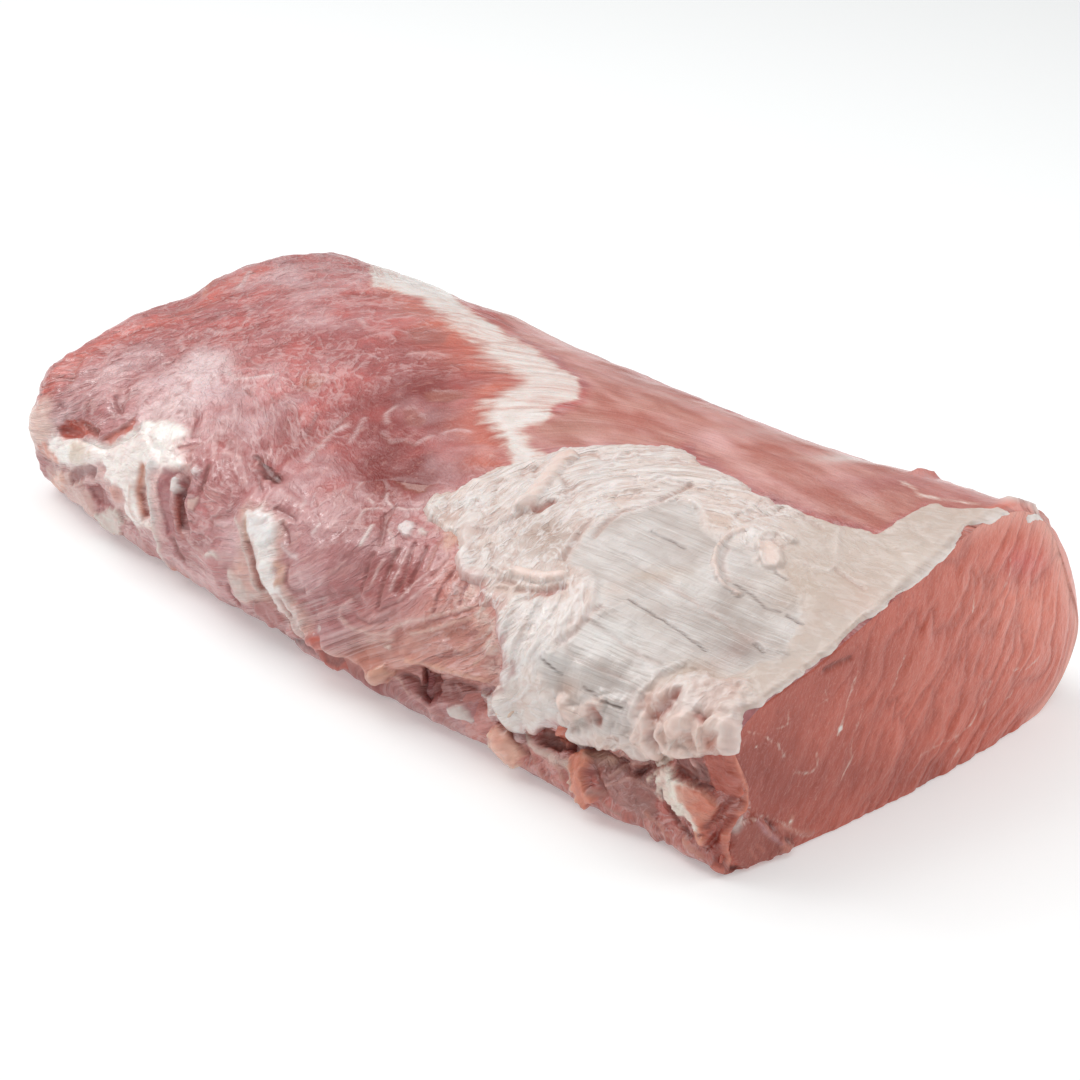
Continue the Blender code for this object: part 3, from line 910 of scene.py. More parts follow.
# The front's left end, in the same way, but with the sheet's outline in (back, girth).
CORNER_SHEET = listed("290.6,-6 290.6,58 262,66 225,68 200,66 165,60 143,52 132,30 128,8 128,-6")
# The dark colours of the sunk areas are painted shade in the creases and the pit, and the two brightest areas
# on the tongue of fat are a painted highlight along it.
CORNER_AREAS = table("""
6 0.3 240,206,194 28,398 48,398 54,430 46,452 30,450
6 0.1 234,196,190 44,440 70,436 103,445 133,425 170,417 190,430 186,448 192,468 178,476 160,540 146,528
    124,520 104,486 70,470 48,462
3.2 0.9 255,247,241 50,438 60,434 78,437 92,438 103,445 118,440 133,427 150,420 170,419 184,427 188,436
    177,443 172,451 183,461 181,468 162,468 150,474 146,490 144,505 147,516 152,526 137,526 128,515 126,500
    122,490 112,484 105,478 108,470 103,462 88,465 70,467 55,463 46,452
3 0.3 224,206,190 74,442 86,442 90,456 84,464 72,462
1.4 -1.3 196,98,82 57,428 65,421 78,419 90,424 98,430 96,437 85,437 70,438 59,437
1.2 -0.6 160,88,78 80,422 90,424 98,430 96,437 84,434
1.2 -1 202,116,102 101,441 108,432 118,426 128,421 133,416 137,421 129,430 117,438 107,444
1.6 0.2 222,150,130 35,444 42,440 52,448 60,458 58,465 48,461 39,453
2.4 0.4 210,170,160 46,468 68,470 80,480 95,505 98,520 80,518 60,495
2 0.3 226,176,156 54,474 64,472 66,482 60,490 52,486
1.6 -0.9 158,104,102 74,468 84,464 96,468 92,478 84,476 72,484 68,474
1.4 -0.9 168,104,102 88,486 98,486 104,494 108,505 98,506 92,497
1.4 0.4 226,172,160 108,486 118,484 124,492 122,502 112,498
1.2 1.2 214,202,192 97,513 110,507 120,511 125,522 121,533 110,531 102,525
1.6 -0.5 172,108,110 158,474 168,470 182,470 170,482 168,500 172,530 166,536 160,510
0.8 1 230,220,216 170,478 176,475 180,484 186,490 180,493 171,487
0.8 0.9 226,206,204 191,470 195,467 199,471 196,476 192,475
0.9 0.7 222,186,176 185,508 189,500 196,499 193,509 188,513
4.5 0.1 220,174,162 240,508 262,504 282,520 282,560 292,596 314,638 298,636 270,604 240,604 228,576 238,550
3 0.8 232,214,208 249,511 262,507 272,516 281,522 279,533 276,546 277,560 274,573 278,586 286,596 293,609
    302,622 309,635 303,637 294,626 285,613 275,603 267,592 261,580 257,567 255,552 249,540 246,528
2.2 0.5 248,244,242 249,512 262,510 276,522 276,538 268,546 254,536
2 0.4 246,240,236 258,540 270,540 274,566 280,588 272,592 262,574
2.4 0.5 214,192,184 227,570 236,574 246,588 259,595 248,602 239,600 230,586
2 0.2 214,168,146 276,560 284,566 284,582 277,584
2 0.6 178,112,108 250,604 264,602 276,612 282,622 272,626 258,616
1.2 1.3 198,102,86 308,633 318,634 330,645 345,655 350,668 336,669 322,661 312,650
1.2 -0.8 146,72,62 322,648 334,650 346,660 340,666 328,660
0.8 0.8 236,218,210 341,589 344,581 348,584 348,594 351,601 345,599
2 -0.6 96,38,32 256,455 265,457 271,467 280,477 273,482 262,473
""")
# The dark sunk lines are painted shade in the grooves, and the widest, low down, is painted shade under the
# end.
CORNER_LINES = table("""
1.27 0.9 222,214,210 155,462 151,474 149,490 151,506 154,519
0.94 0.68 232,220,212 153,522 155,534 159,547 163,560 170,571
1.1 -0.83 208,142,120 143,466 141,478 138,490 140,502 145,516
0.68 -0.68 146,68,56 141,494 143,504 147,514
0.85 0.45 232,206,196 132,486 131,500 135,515 142,523 152,528
1.02 -1.8 100,40,34 183,494 181,506 180,518 181,529
0.77 0.3 192,112,100 177,498 175,512 176,526 182,537
0.85 -0.68 150,94,90 207,466 203,478 200,490
0.77 -0.6 182,116,116 200,398 200,414 195,426 192,436
0.68 -0.45 184,110,106 179,447 188,445 198,443
0.77 -0.68 158,100,98 117,396 119,404 121,411
1.02 -0.45 172,120,120 58,405 64,408
1.02 0.38 190,136,132 136,530 142,542 152,552
0.68 0.38 214,194,186 140,534 134,522 124,516
1.1 -0.68 150,92,86 172,540 176,552 182,560
1.02 0.38 204,136,118 163,562 172,572 184,582 196,590
0.77 0.38 200,154,150 180,530 190,545 202,555 212,553
0.85 0.45 220,204,196 206,554 212,552 216,557
0.68 0.38 218,198,190 234,518 241,532 243,548 248,564 251,578 259,592
0.51 -0.38 212,164,134 247,516 246,528 248,540
0.85 -0.98 158,88,76 249,542 253,556 257,572 262,588
0.59 -0.6 184,126,116 281,600 286,608 291,616
0.85 0.6 224,194,188 276,603 286,615 296,629 304,639
0.68 -0.52 166,98,90 285,617 292,630 300,640
2.04 -1.65 112,62,58 268,628 284,636 300,646 312,654
0.68 0.45 208,142,138 309,640 314,654 326,667
1.02 0.38 218,200,194 318,628 334,637 345,650 356,666
0.68 -0.6 156,86,82 350,578 353,590 352,602
0.85 -0.52 164,106,104 287,566 284,582 292,592 304,592 314,580 316,568
0.85 -0.45 160,102,98 318,558 322,566 322,578
0.77 -0.45 160,102,100 275,508 284,512 294,520
0.85 -0.52 150,88,86 282,524 287,534 288,542
0.85 0.38 218,184,182 300,482 306,494 302,506
0.85 0.38 220,190,188 338,488 332,500 326,512
0.77 0.38 222,196,194 312,532 320,522 330,520 340,526
0.77 -0.6 148,88,86 318,510 326,516 334,518
0.77 -0.45 156,96,94 260,490 258,478 256,470
0.85 0.45 222,192,190 282,545 290,555 296,556
0.85 -0.68 150,88,84 226,586 230,596 238,606
""")

# The middle of the front, with its fan of fibre bundles, in the same way.
FLANK_SHEET = listed("136,-6 137,20 146,50 160,60 140,76 112,84 84,78 74,62 60,44 60,30 76,24 78,-6")
# The dark sunk areas, the deep hole most of all, are painted shade.
FLANK_AREAS = table("""
13 0 212,148,134 345,662 366,626 410,618 446,596 452,566 470,552 505,590 508,684 476,688 440,680 400,672
    365,674
2 -0.9 156,90,76 392,478 400,462 415,457 440,459 447,466 436,478 424,489 408,491
1 0.9 226,210,207 397,527 406,521 415,526 412,535 402,537
0.9 0.6 220,204,196 417,530 423,526 429,532 423,538
2 0.3 218,168,148 440,548 446,532 458,522 462,536 452,548
0.9 0.5 216,182,178 450,586 455,580 460,588 455,594
3 -0.4 184,106,92 396,628 402,630 402,640 396,646 392,640
4 -0.2 190,118,102 444,628 456,626 462,634 454,642 446,638
0.8 0.6 234,204,192 383,647 389,643 393,647 388,651
2.4 0.2 204,128,108 356,652 372,646 380,660 376,676 364,668
1.2 1 214,160,138 372,668 384,664 392,672 388,684 376,680
1.2 1.2 218,206,200 444,706 456,704 470,714 474,722 462,720 450,714
1 -2.4 104,44,38 418,668 428,672 432,684 428,698 422,700 420,686
2 -0.4 162,98,92 432,690 450,684 462,694 456,704 440,702
""")
# The dark sunk lines are painted shade in the grooves between the fibre bundles.
FLANK_LINES = table("""
0.65 -0.6 158,98,94 384,512 383,528 380,545
0.52 -0.54 160,100,96 373,553 366,573 360,591
0.59 -0.6 154,92,86 398,548 389,568 382,585 377,606
0.59 -0.6 158,96,92 414,542 408,560 403,580 395,592
0.65 -0.66 150,86,82 426,545 420,560 411,577 407,590
0.52 -0.42 186,118,104 440,538 431,556 426,568
0.45 -0.36 180,114,106 450,554 440,566 430,576
0.52 -0.48 164,98,94 458,566 446,580 438,594 433,614
0.45 -0.36 168,104,102 472,574 463,590 459,604
0.52 -0.36 168,104,100 402,600 388,606 376,612
0.52 -0.36 170,106,102 386,620 368,624 356,618
0.45 -0.3 172,104,96 480,604 462,612 444,618 426,622
0.59 0.3 216,176,172 383,560 376,572 371,584
0.59 0.3 212,170,166 407,550 398,570 390,590
0.59 0.3 216,174,170 424,574 410,586 398,600
0.65 0.3 220,178,174 446,570 430,584 410,598
0.52 0.24 220,176,172 462,574 452,590 446,604
0.59 0.36 228,190,180 340,618 352,629 370,634 386,634 396,626 408,621 428,618 446,612 468,607
0.59 0.3 218,172,168 350,600 340,608 338,618 346,628
0.52 0.3 226,184,172 366,642 380,640 392,640
0.45 -0.3 190,118,102 406,630 426,626 444,622
0.52 0.3 228,186,172 410,634 432,630 452,622 470,618
0.52 0.24 226,180,162 460,650 474,640 486,626
0.45 -0.3 196,122,104 466,654 480,644 490,632
0.52 0.24 228,186,168 474,664 486,654 496,644
0.65 0.36 224,206,200 372,524 366,534 360,544
0.59 0.3 216,180,176 388,528 394,540 392,552
0.52 0.3 214,178,174 356,520 366,508 382,507
0.52 0.3 218,186,182 387,492 386,500 393,506 406,509 420,508
0.59 -0.48 146,84,78 396,504 390,512 386,520
0.59 0.36 224,192,190 440,470 446,476
0.52 0.36 226,194,190 368,497 373,502
0.52 -0.42 152,90,84 383,476 386,488 382,496
0.52 0.24 212,172,170 374,466 362,480 356,488
0.52 0.24 210,170,168 346,440 338,450 328,462
0.45 -0.36 160,100,98 352,446 342,458 334,468
0.65 0.48 226,170,148 404,660 424,664 446,670 470,676 488,681
1.04 -1.08 128,66,58 404,676 416,680 418,692
0.91 -0.72 140,76,68 436,676 456,682 474,688
0.78 0.36 196,140,134 410,690 424,706 440,716
0.78 0.3 190,134,128 444,724 460,732 478,740
0.59 0.36 214,168,156 394,676 402,684 408,694
""")

# Flakes, fibre bundles and hollows on the top of the flesh, drawn on the loin itself.
# The two wide pale areas at its end are painted highlight on the wet top, and the dark sunk ones are painted
# shade in the hollows.
FLESH_AREAS = table("""
2.4 -0.6 166,96,82 424,396 436,390 462,392 470,398 440,402 428,402
2.4 -0.5 160,90,80 402,412 412,406 428,420 420,428 408,426
3 -0.4 170,98,88 404,330 430,326 450,334 440,344 414,342
3 -0.3 182,104,86 300,378 312,372 326,376 316,390 304,390
9 0.2 248,222,222 170,372 196,350 226,352 232,372 200,392 176,396
9 0.2 246,218,217 142,410 170,396 196,396 190,418 150,422
""")
# The dark colours of the sunk lines are painted shade in their grooves.
FLESH_LINES = table("""
1.6 1.8 216,134,122 918,475 926,473 932,477
1.8 1.6 240,230,224 1008,502 1020,501 1032,507
0.9 0.4 216,182,180 346,424 332,430 324,440
0.9 0.4 216,184,182 322,444 314,452 308,460
0.75 0.32 212,176,174 364,418 356,432 350,442
0.75 0.32 216,180,176 396,407 386,414 388,424
0.75 0.32 220,182,180 416,446 424,441 430,438
0.83 -0.64 150,88,82 346,414 336,422 326,432
0.83 -0.64 150,94,92 318,412 310,424 304,434
0.83 -0.56 156,96,92 288,418 282,430 280,442
0.83 -0.56 154,92,86 382,434 390,444 404,442 416,446
0.75 0.32 230,206,204 224,358 226,372 236,380 256,378 276,376
0.75 -0.4 184,112,112 224,364 222,376 226,384
0.83 -0.4 186,112,110 182,386 190,382 188,392
0.98 -0.56 186,96,84 70,382 76,368 84,356
0.9 0.32 222,176,176 96,380 104,364 114,348 120,346
0.9 -0.48 168,106,108 126,384 136,374 150,366 162,356
0.75 -0.4 172,102,100 172,346 186,336 198,340
0.75 0.32 220,178,178 180,340 184,350
0.75 0.32 218,172,172 246,322 252,312 246,306
0.83 -0.4 170,96,94 212,320 228,314 240,316
0.83 -0.4 172,96,92 250,346 270,346 290,340
0.75 0.32 224,180,178 208,330 224,334 240,330
0.9 0.32 224,186,184 360,318 366,326
0.75 -0.4 176,100,96 372,332 384,342 398,340
0.75 -0.4 170,92,82 420,356 440,360 462,366
0.75 0.24 216,164,158 410,352 432,352 450,356
0.75 -0.48 176,104,100 300,336 316,344 332,340
0.75 0.24 222,156,152 262,292 284,286 300,290
0.68 0.32 224,186,184 444,434 458,430 470,432
0.9 0.32 230,208,206 250,272 244,282 238,288
1.05 0.32 222,150,132 204,292 210,280 224,274
""")

# The grain of the cut face: the widths of its ridges and threads, and how far they stand out.
RIDGE_WIDTH = 6.4
RIDGE_HEIGHT = 0.55
THREAD_WIDTH = 1.6
THREAD_HEIGHT = 0.14

# The ragged bottom of the cut face near the front corner, drawn in the same way.
FACE_AREAS = table("""
1.4 1.5 158,72,56 729,835 742,822 756,816 775,828 790,842 780,852 760,862 742,869 734,862 728,850
0.8 0.8 196,118,100 778,838 786,838 792,844 784,848 776,850
""")
# The dark sunk lines are painted shade in the gaps, darkest at the foot.
FACE_LINES = table("""
0.9 0.8 230,212,206 732,829 737,823 740,817
0.6 0.5 204,148,150 754,818 760,828 768,834 775,840
0.5 0.4 204,138,128 762,822 765,832
0.8 0.6 198,124,108 780,826 794,832 811,832
0.7 0.3 212,150,132 790,823 792,817
0.7 -0.8 112,44,34 782,837 790,840
0.7 -0.6 112,46,38 766,820 771,826
0.9 -0.9 98,36,30 727,869 737,869
0.4 0.3 196,112,94 752,842 760,850
0.4 0.3 196,112,94 744,846 752,856
0.8 -0.7 146,72,62 825,670 836,664 850,658
""")

# Soft ovals of other colours on the patch, on the photograph: the middle, the half sizes, the weight and
# the colour.
# Of these, the greyer ovals at 732,612, 700,625, 745,620, 735,652 and 700,672 are painted shade on the right
# of the silverskin, and the pale ones at 608,640 and 560,660 are painted highlight on its lower left.
PATCH_PLACES = [(*place, rgb(*colour)) for *place, colour in table("""
548,542 28,24 0.75 186,156,140
732,612 34,30 0.4 172,154,144
518,655 26,30 0.7 248,236,230
690,728 60,22 0.35 220,166,146
640,555 40,20 0.4 228,222,219
735,652 20,10 0.95 146,130,124
700,672 26,10 0.6 186,162,142
700,625 34,20 0.3 176,164,158
745,620 26,22 0.4 180,166,158
608,640 36,18 0.7 234,230,226
560,660 20,14 0.6 234,228,224
660,578 34,8 0.6 208,184,166
614,593 13,8 0.6 216,188,172
800,590 44,22 0.5 206,184,168
722,527 20,9 0.6 222,190,170
860,600 22,20 0.35 226,190,174
560,475 26,14 0.35 232,206,194
656,702 22,14 0.45 214,158,142
716,742 8,9 0.85 206,134,114
695,738 6,8 0.7 206,140,122
600,545 30,20 0.4 218,206,200
570,690 10,14 0.5 216,178,160
595,712 6,12 0.6 206,152,138
500,600 20,16 0.35 226,196,180
910,560 40,14 0.4 230,214,202
""")]


def mixed(colour, target, weight):
    """The colour moved towards the target by a weight from 0 to 1."""
    return colour + (target - colour) * np.clip(weight, 0, 1)[..., None]


def coated(tint, *coats):
    """The tint under coats of paint: each a colour and its weight."""
    for colour, weight in coats:
        tint = mixed(tint, colour, weight)
    return tint


def spot(photo, at, size):
    """A soft oval on the photograph: 1 at its middle."""
    return np.exp(-(((photo - at) / size) ** 2).sum(axis=-1))


def spotted(tint, photo, places, seen, uneven, colour=None):
    """The tint with soft ovals of one colour, or of each place's own."""
    for at, size, weight, *own in places:
        target = own[0] if own else colour
        tint = mixed(tint, target, weight * seen * spot(photo, at, size) * uneven)
    return tint


def drawn(surface, source, areas, lines, lift=0.0):
    """What drawn areas and lines do: how much they raise the surface, where their colours go and where
    they are firm marks rather than faint tints."""
    rise, layers = np.zeros(surface.places.shape[:-1]), []
    firm = np.zeros(rise.shape)
    ragged = 0.8 * wave(surface.points, 2.4, 121, 3)
    for is_area, marks in ((True, areas), (False, lines)):
        for width, height, colour, *pixels in marks:
            path = source.place_of(pixels, lift)
            if is_area:
                share = smooth((within(surface.places, path) + ragged) / width + 0.5)
            else:
                share = bell(to_path(surface.places, path) + 0.25 * np.abs(ragged), width)
            rise += height * share
            firm = np.maximum(firm, share * min(1.0, abs(height) / 0.6))
            layers.append((share, rgb(*colour)))
    return rise, layers, firm


def skin_relief(skin, mottle, rawness):
    """How far each point of the skin stands out from the smooth form."""
    front = smooth((FRONT_GIRTH - skin.places[..., 1]) / 20)
    relief = np.zeros(front.shape)
    for size, height in zip(LUMP_SIZES, LUMP_HEIGHTS):
        for at in np.ndindex(relief.shape):
            relief[at] += height * noise.noise(Vector(skin.points[at] / size))
    relief *= 1 + (FRONT_ROUGHNESS - 1) * front
    relief += (0.10 + 0.25 * front) * wave(skin.points, 6.0, 3, 2)
    return relief + rawness * (0.34 + 0.18 * front) * mottle


def above_table(points):
    """The points, with those below the table lifted onto it."""
    points[..., 2] = np.maximum(points[..., 2], 0)
    return points


def stroke(surface, pixels, width):
    """1 along a line drawn on the photograph, falling to nothing at about twice the width."""
    return bell(to_path(surface.places, surface.place_of(pixels)), width)


def area(surface, pixels, feather):
    """1 inside an outline drawn on the photograph, with a ragged edge of some feather, and 0 outside."""
    inside = within(surface.places, surface.place_of(pixels))
    ragged = 1.1 * wave(surface.points, 4.0, 11, 3)
    return smooth((inside + ragged) / feather + 0.5)


def strip_area(skin):
    """How much fat lies on each point of the strip across the top, which frays along its left edge."""
    x, y = skin.photo[..., 0], skin.photo[..., 1]
    strip = area(skin, STRIP, 3.0 + 9.0 * stroke(skin, STRIP_LEFT, 12.0))
    strip *= 0.68 + 0.08 * smooth((x - 380) / 60) + 0.16 * smooth((y - 405) / 30)
    far, near = spot(skin.photo, (418, 292), (40, 14)), spot(skin.photo, (514, 438), (22, 14))
    return strip * (1 + 0.50 * far + 0.16 * near)


def lip_relief(skin):
    """The lip along the front, which hangs over a hollow."""
    back, girth = skin.places[..., 0], skin.places[..., 1]
    lip = skin.place_of(LIP)
    order = np.argsort(lip[:, 0])
    below = np.interp(back, lip[order, 0], lip[order, 1]) - girth
    ends = smooth((back - lip[:, 0].min()) / 6) * smooth((lip[:, 0].max() - back) / 6)
    hollow = LIP_HOLLOW * smooth(below / 1.5) * smooth((12 - below) / 7)
    return ends * (LIP_HEIGHT * bell(below + 1.2, 2.4) - hollow)


def loin_relief(skin, mottle, rawness, strip, fibres):
    """How far the dressed skin stands out from the smooth form, and the coloured marks on it."""
    points, places = skin.points, skin.places
    relief = skin_relief(skin, mottle, rawness) + STRIP_HEIGHT * strip
    for _, width, depth, *pixels in CREASES:
        relief -= depth * stroke(skin, pixels, width)
    for _, width, height, pixel in MOUNDS:
        relief += height * bell(np.linalg.norm(places - skin.place_of(pixel)[0], axis=-1), width)
    for width, height, place in SWELLS:
        relief += height * bell(np.linalg.norm(places - place, axis=-1), width)
    rise, marks, _ = drawn(skin, skin, FLESH_AREAS, FLESH_LINES)
    relief += rise + GRAIN_HEIGHT * flesh_grain(points, fibres, rawness)
    relief += lip_relief(skin)
    foot = smooth((6 - places[..., 1]) / 6)
    uneven = 0.5 + 1.0 * smooth(places[..., 0] / 6)
    return relief * (1 - 0.6 * foot) + uneven * foot * wave(points * (1, 0.3, 0), 7.0, 21, 2), marks


def far_end(edge, layers):
    """The far end's points inside the edge of the skin, with their values in each layer."""
    points, rim = cap_grid(edge, BODY_CELLS, far_face_x)
    inland = smooth(rim / 16)
    at_edge = {label: across(values[0].reshape(len(edge), -1), BODY_CELLS)
               for label, values in layers.items()}
    tint = coated(np.broadcast_to(MAUVE, points.shape), (RED, 0.5 + 0.6 * wave(points, 14.0, 41, 2)),
                  (DEEP, 0.45 * smooth((wave(points, 9.0, 43, 2) - 0.1) * 2)))
    return points, {
        "tint": mixed(at_edge["tint"], tint, inland),
        "fat": 0.7 * smooth((wave(points, 12.0, 45, 4) - 0.45) * 3) * inland,
        "rawness": 0.9 + (at_edge["rawness"][..., 0] - 0.9) * (1 - inland),
        "fibre": at_edge["fibre"] - rim[..., None] * (1.0, 0.0),
    }


def numbered_cap(skin_index, row, shape, first):
    """Vertex numbers for a cap inside a row of the skin, and which of them are the cap's own."""
    _, front, back, _ = corner_steps(BODY_CELLS)
    index = np.full(shape, -1)
    index[0, :] = skin_index[row, :front + 1]
    index[:, -1] = skin_index[row, front:back + 1]
    index[-1, :] = skin_index[row, back:][::-1]
    own = index < 0
    index[own] = first + np.arange(own.sum())
    return index, own


def close_loin(skin, layers, materials):
    """The loin's mesh: the skin, the ends that close it and the flat underside."""
    cut, _ = cap_grid(skin[-1], BODY_CELLS, lambda y, z, rim, _: cut_face_x(y, z) - 1.2 * smooth(rim / 2))
    far, far_layers = far_end(skin[0], layers)
    index = np.arange(skin.shape[0] * skin.shape[1]).reshape(skin.shape[:2])
    cut_index, on_cut = numbered_cap(index, -1, cut.shape[:2], index.size)
    far_index, on_far = numbered_cap(index, 0, far.shape[:2], index.size + int(on_cut.sum()))
    underside = np.concatenate([index[:, 0], cut_index[1:-1, 0], index[::-1, -1], far_index[-2:0:-1, 0]])
    quads = np.vstack([face_grid(index), face_grid(cut_index), face_grid(far_index)[:, ::-1]])
    none = np.zeros(cut.shape[:2])
    cut_layers = {"tint": np.broadcast_to(PAINTED_SHADE_CUT, cut.shape), "fat": none, "rawness": none,
                  "fibre": cut[..., 1:]}

    def joined(of_skin, of_cut, of_far):
        """The values of every vertex, in the order of their numbers."""
        parts = (of_skin[:len(skin)].reshape(index.size, -1), of_cut[on_cut], of_far[on_far])
        return np.squeeze(np.concatenate([part.reshape(len(part), -1) for part in parts]))

    values = {label: joined(layers[label], cut_layers[label], far_layers[label]) for label in layers}
    faces = [list(quad) for quad in quads] + [list(underside[::-1])]
    loin = make_mesh("loin", joined(skin, cut, far), faces, values, materials, sharp=55)
    loin.data.polygons[len(loin.data.polygons) - 1].material_index = 1
    return loin


def build_loin(materials):
    """The loin as one closed mesh, its dressed skin for the sheets, and the edge of its cut face."""
    turn = np.arange(BODY_CELLS["end"], 0, -1) / BODY_CELLS["end"] * math.pi / 2
    straight = np.arange(BODY_CELLS["length"], 1, -1) * (STRAIGHT_LENGTH / BODY_CELLS["length"])
    backs = np.concatenate([STRAIGHT_LENGTH + FAR_END_ROUND * turn, straight, CUT_EDGE_BACKS, CUT_FACE_BACKS])
    grid, places = skin_grid(backs, BODY_CELLS)
    on_skin = int((backs >= 0).sum())
    normals = outward(grid)
    normals[on_skin:] = (1.0, 0.0, 0.0)
    skin = Surface(grid, normals, places)
    fibres = fibre_places(skin, FLOWS, SEEN_LIMITS)
    mottle = drawn_out(fibres, 3.0, 2.4 * wave(grid, 13.0, 201, 2), 3.6, 203, 2)
    membrane = membrane_area(skin)
    strip = strip_area(skin)
    rawness = 1 - 0.8 * membrane
    for at, size, weight in BROWN_PLACES:
        rawness *= 1 - 0.85 * weight * spot(skin.photo, at, size)
    rawness *= 1 - 0.6 * np.clip(strip, 0, 1)
    relief, marks = loin_relief(skin, mottle, rawness, strip, fibres)
    relief[on_skin:] = 0
    relief[on_skin - len(CUT_EDGE_RELIEF):on_skin] *= np.array(CUT_EDGE_RELIEF)[:, None]
    for foot in (0, -1):
        normals[:, foot, 2] = 0
    moved = above_table(grid + normals * relief[..., None])
    tint, fat = paint_skin(skin, mottle, membrane, strip)
    for share, colour in marks:
        tint = mixed(tint, colour, 0.8 * share)
    dressed = Surface(moved, unit(outward(moved)), places)
    dressed.layers = {"tint": tint, "fat": fat, "rawness": rawness, "fibre": fibres}

    outlines = [patch_outline(dressed), *sheet_outlines(dressed).values()]
    covered = np.max([within(places, outline) for outline in outlines], axis=0)
    sunk = above_table(moved - normals * (UNDER_DEPTH * smooth((covered - 1.5) / 4))[..., None])
    return close_loin(sunk[:on_skin], dressed.layers, materials), dressed, moved[on_skin - 1]


def build_cut_face(edge, material):
    """The fresh cut face: a closed sheet over the end of the loin, ridged along its grain."""
    cut, rim = cap_grid(respaced(edge, corner_steps(BODY_CELLS), FACE_CELLS), FACE_CELLS, cut_face_x)
    face = Surface(cut.copy(), np.broadcast_to((1.0, 0.0, 0.0), cut.shape), cut[..., 1:].copy())
    fibres = fibre_places(face, CUT_FLOWS)
    drift = 1.2 * wave(cut, 12.0, 205)
    ridges = 1.6 * np.abs(drawn_out(fibres, 3.4, 1.6 * drift, RIDGE_WIDTH, 207, 3)) ** 0.7 - 0.7
    ridges = ridges * (0.30 + 0.70 * smooth((face.photo[..., 0] - 800) / 110))
    threads = drawn_out(fibres, 6.0, drift, THREAD_WIDTH, 211, 2)
    rise, layers, _ = drawn(face, face, FACE_AREAS, FACE_LINES)
    relief = RIDGE_HEIGHT * ridges + THREAD_HEIGHT * threads + THREAD_HEIGHT * wave(cut, 2.2, 209, 3)
    cut[..., 0] += smooth(rim / 9) * relief
    cut[..., 0] += np.clip(rim / 1.5, 0, 1) * rise
    tint, fat = paint_cut_face(face, ridges, rim)
    for share, colour in layers:
        tint = mixed(tint, colour, 0.9 * share)
    under = np.stack([cut[..., 0] - FACE_DEPTH, (cut[..., 1] - FACE_MIDDLE) * FACE_TAPER + FACE_MIDDLE,
                      cut[..., 2] * FACE_TAPER + 0.3], axis=-1)
    values = {"tint": tint, "fat": fat, "rawness": np.full(rim.shape, 0.18), "fibre": fibres}
    return sheet_mesh("cut_face", cut, under, np.full(rim.shape, True), values, material, sharp=60)


def flesh_grain(points, fibres, rawness):
    """The fine ropes of the flesh along its fibres, about -1 to 1."""
    drift = 1.4 * wave(points, 7.0, 141, 2)
    ropes = 1 - 2 * np.abs(drawn_out(fibres, 1.7, 1.5 * drift, 3.0, 143, 2))
    small = drawn_out(fibres, 1.5, drift, 1.3, 145, 2)
    return rawness * (0.55 * ropes + 0.35 * small + 0.35 * wave(points, 2.4, 147, 2))


# Above this lumpiness a sheet is torn: its colour is painted brighter, as light on its shaded front, and near
# the corner its flesh is redder and darker, partly its own red and partly painted shade.
TORN = 0.3
TORN_PAINTED_LIGHT = (1.19, 1.18, 1.10)
CORNER_RED_AND_SHADE = (0.92, 0.68, 0.60)


def finer_cells(skin, outline, margin, cell):
    """A finer grid over part of the skin: its grid steps on the skin, then its points, normals and places."""
    low = np.maximum(outline.min(axis=0) - margin, (CUT_REACH, -0.01))
    high = np.minimum(outline.max(axis=0) + margin, skin.places[0, 0, 0] - 0.3)
    axes = [np.arange(low[k], high[k], cell) for k in (0, 1)]
    places = np.stack(np.meshgrid(*axes, indexing="ij"), axis=-1)[::-1]
    at = grid_steps(skin, places)
    return at, bilinear(skin.points, at), unit(bilinear(skin.normals, at)), places


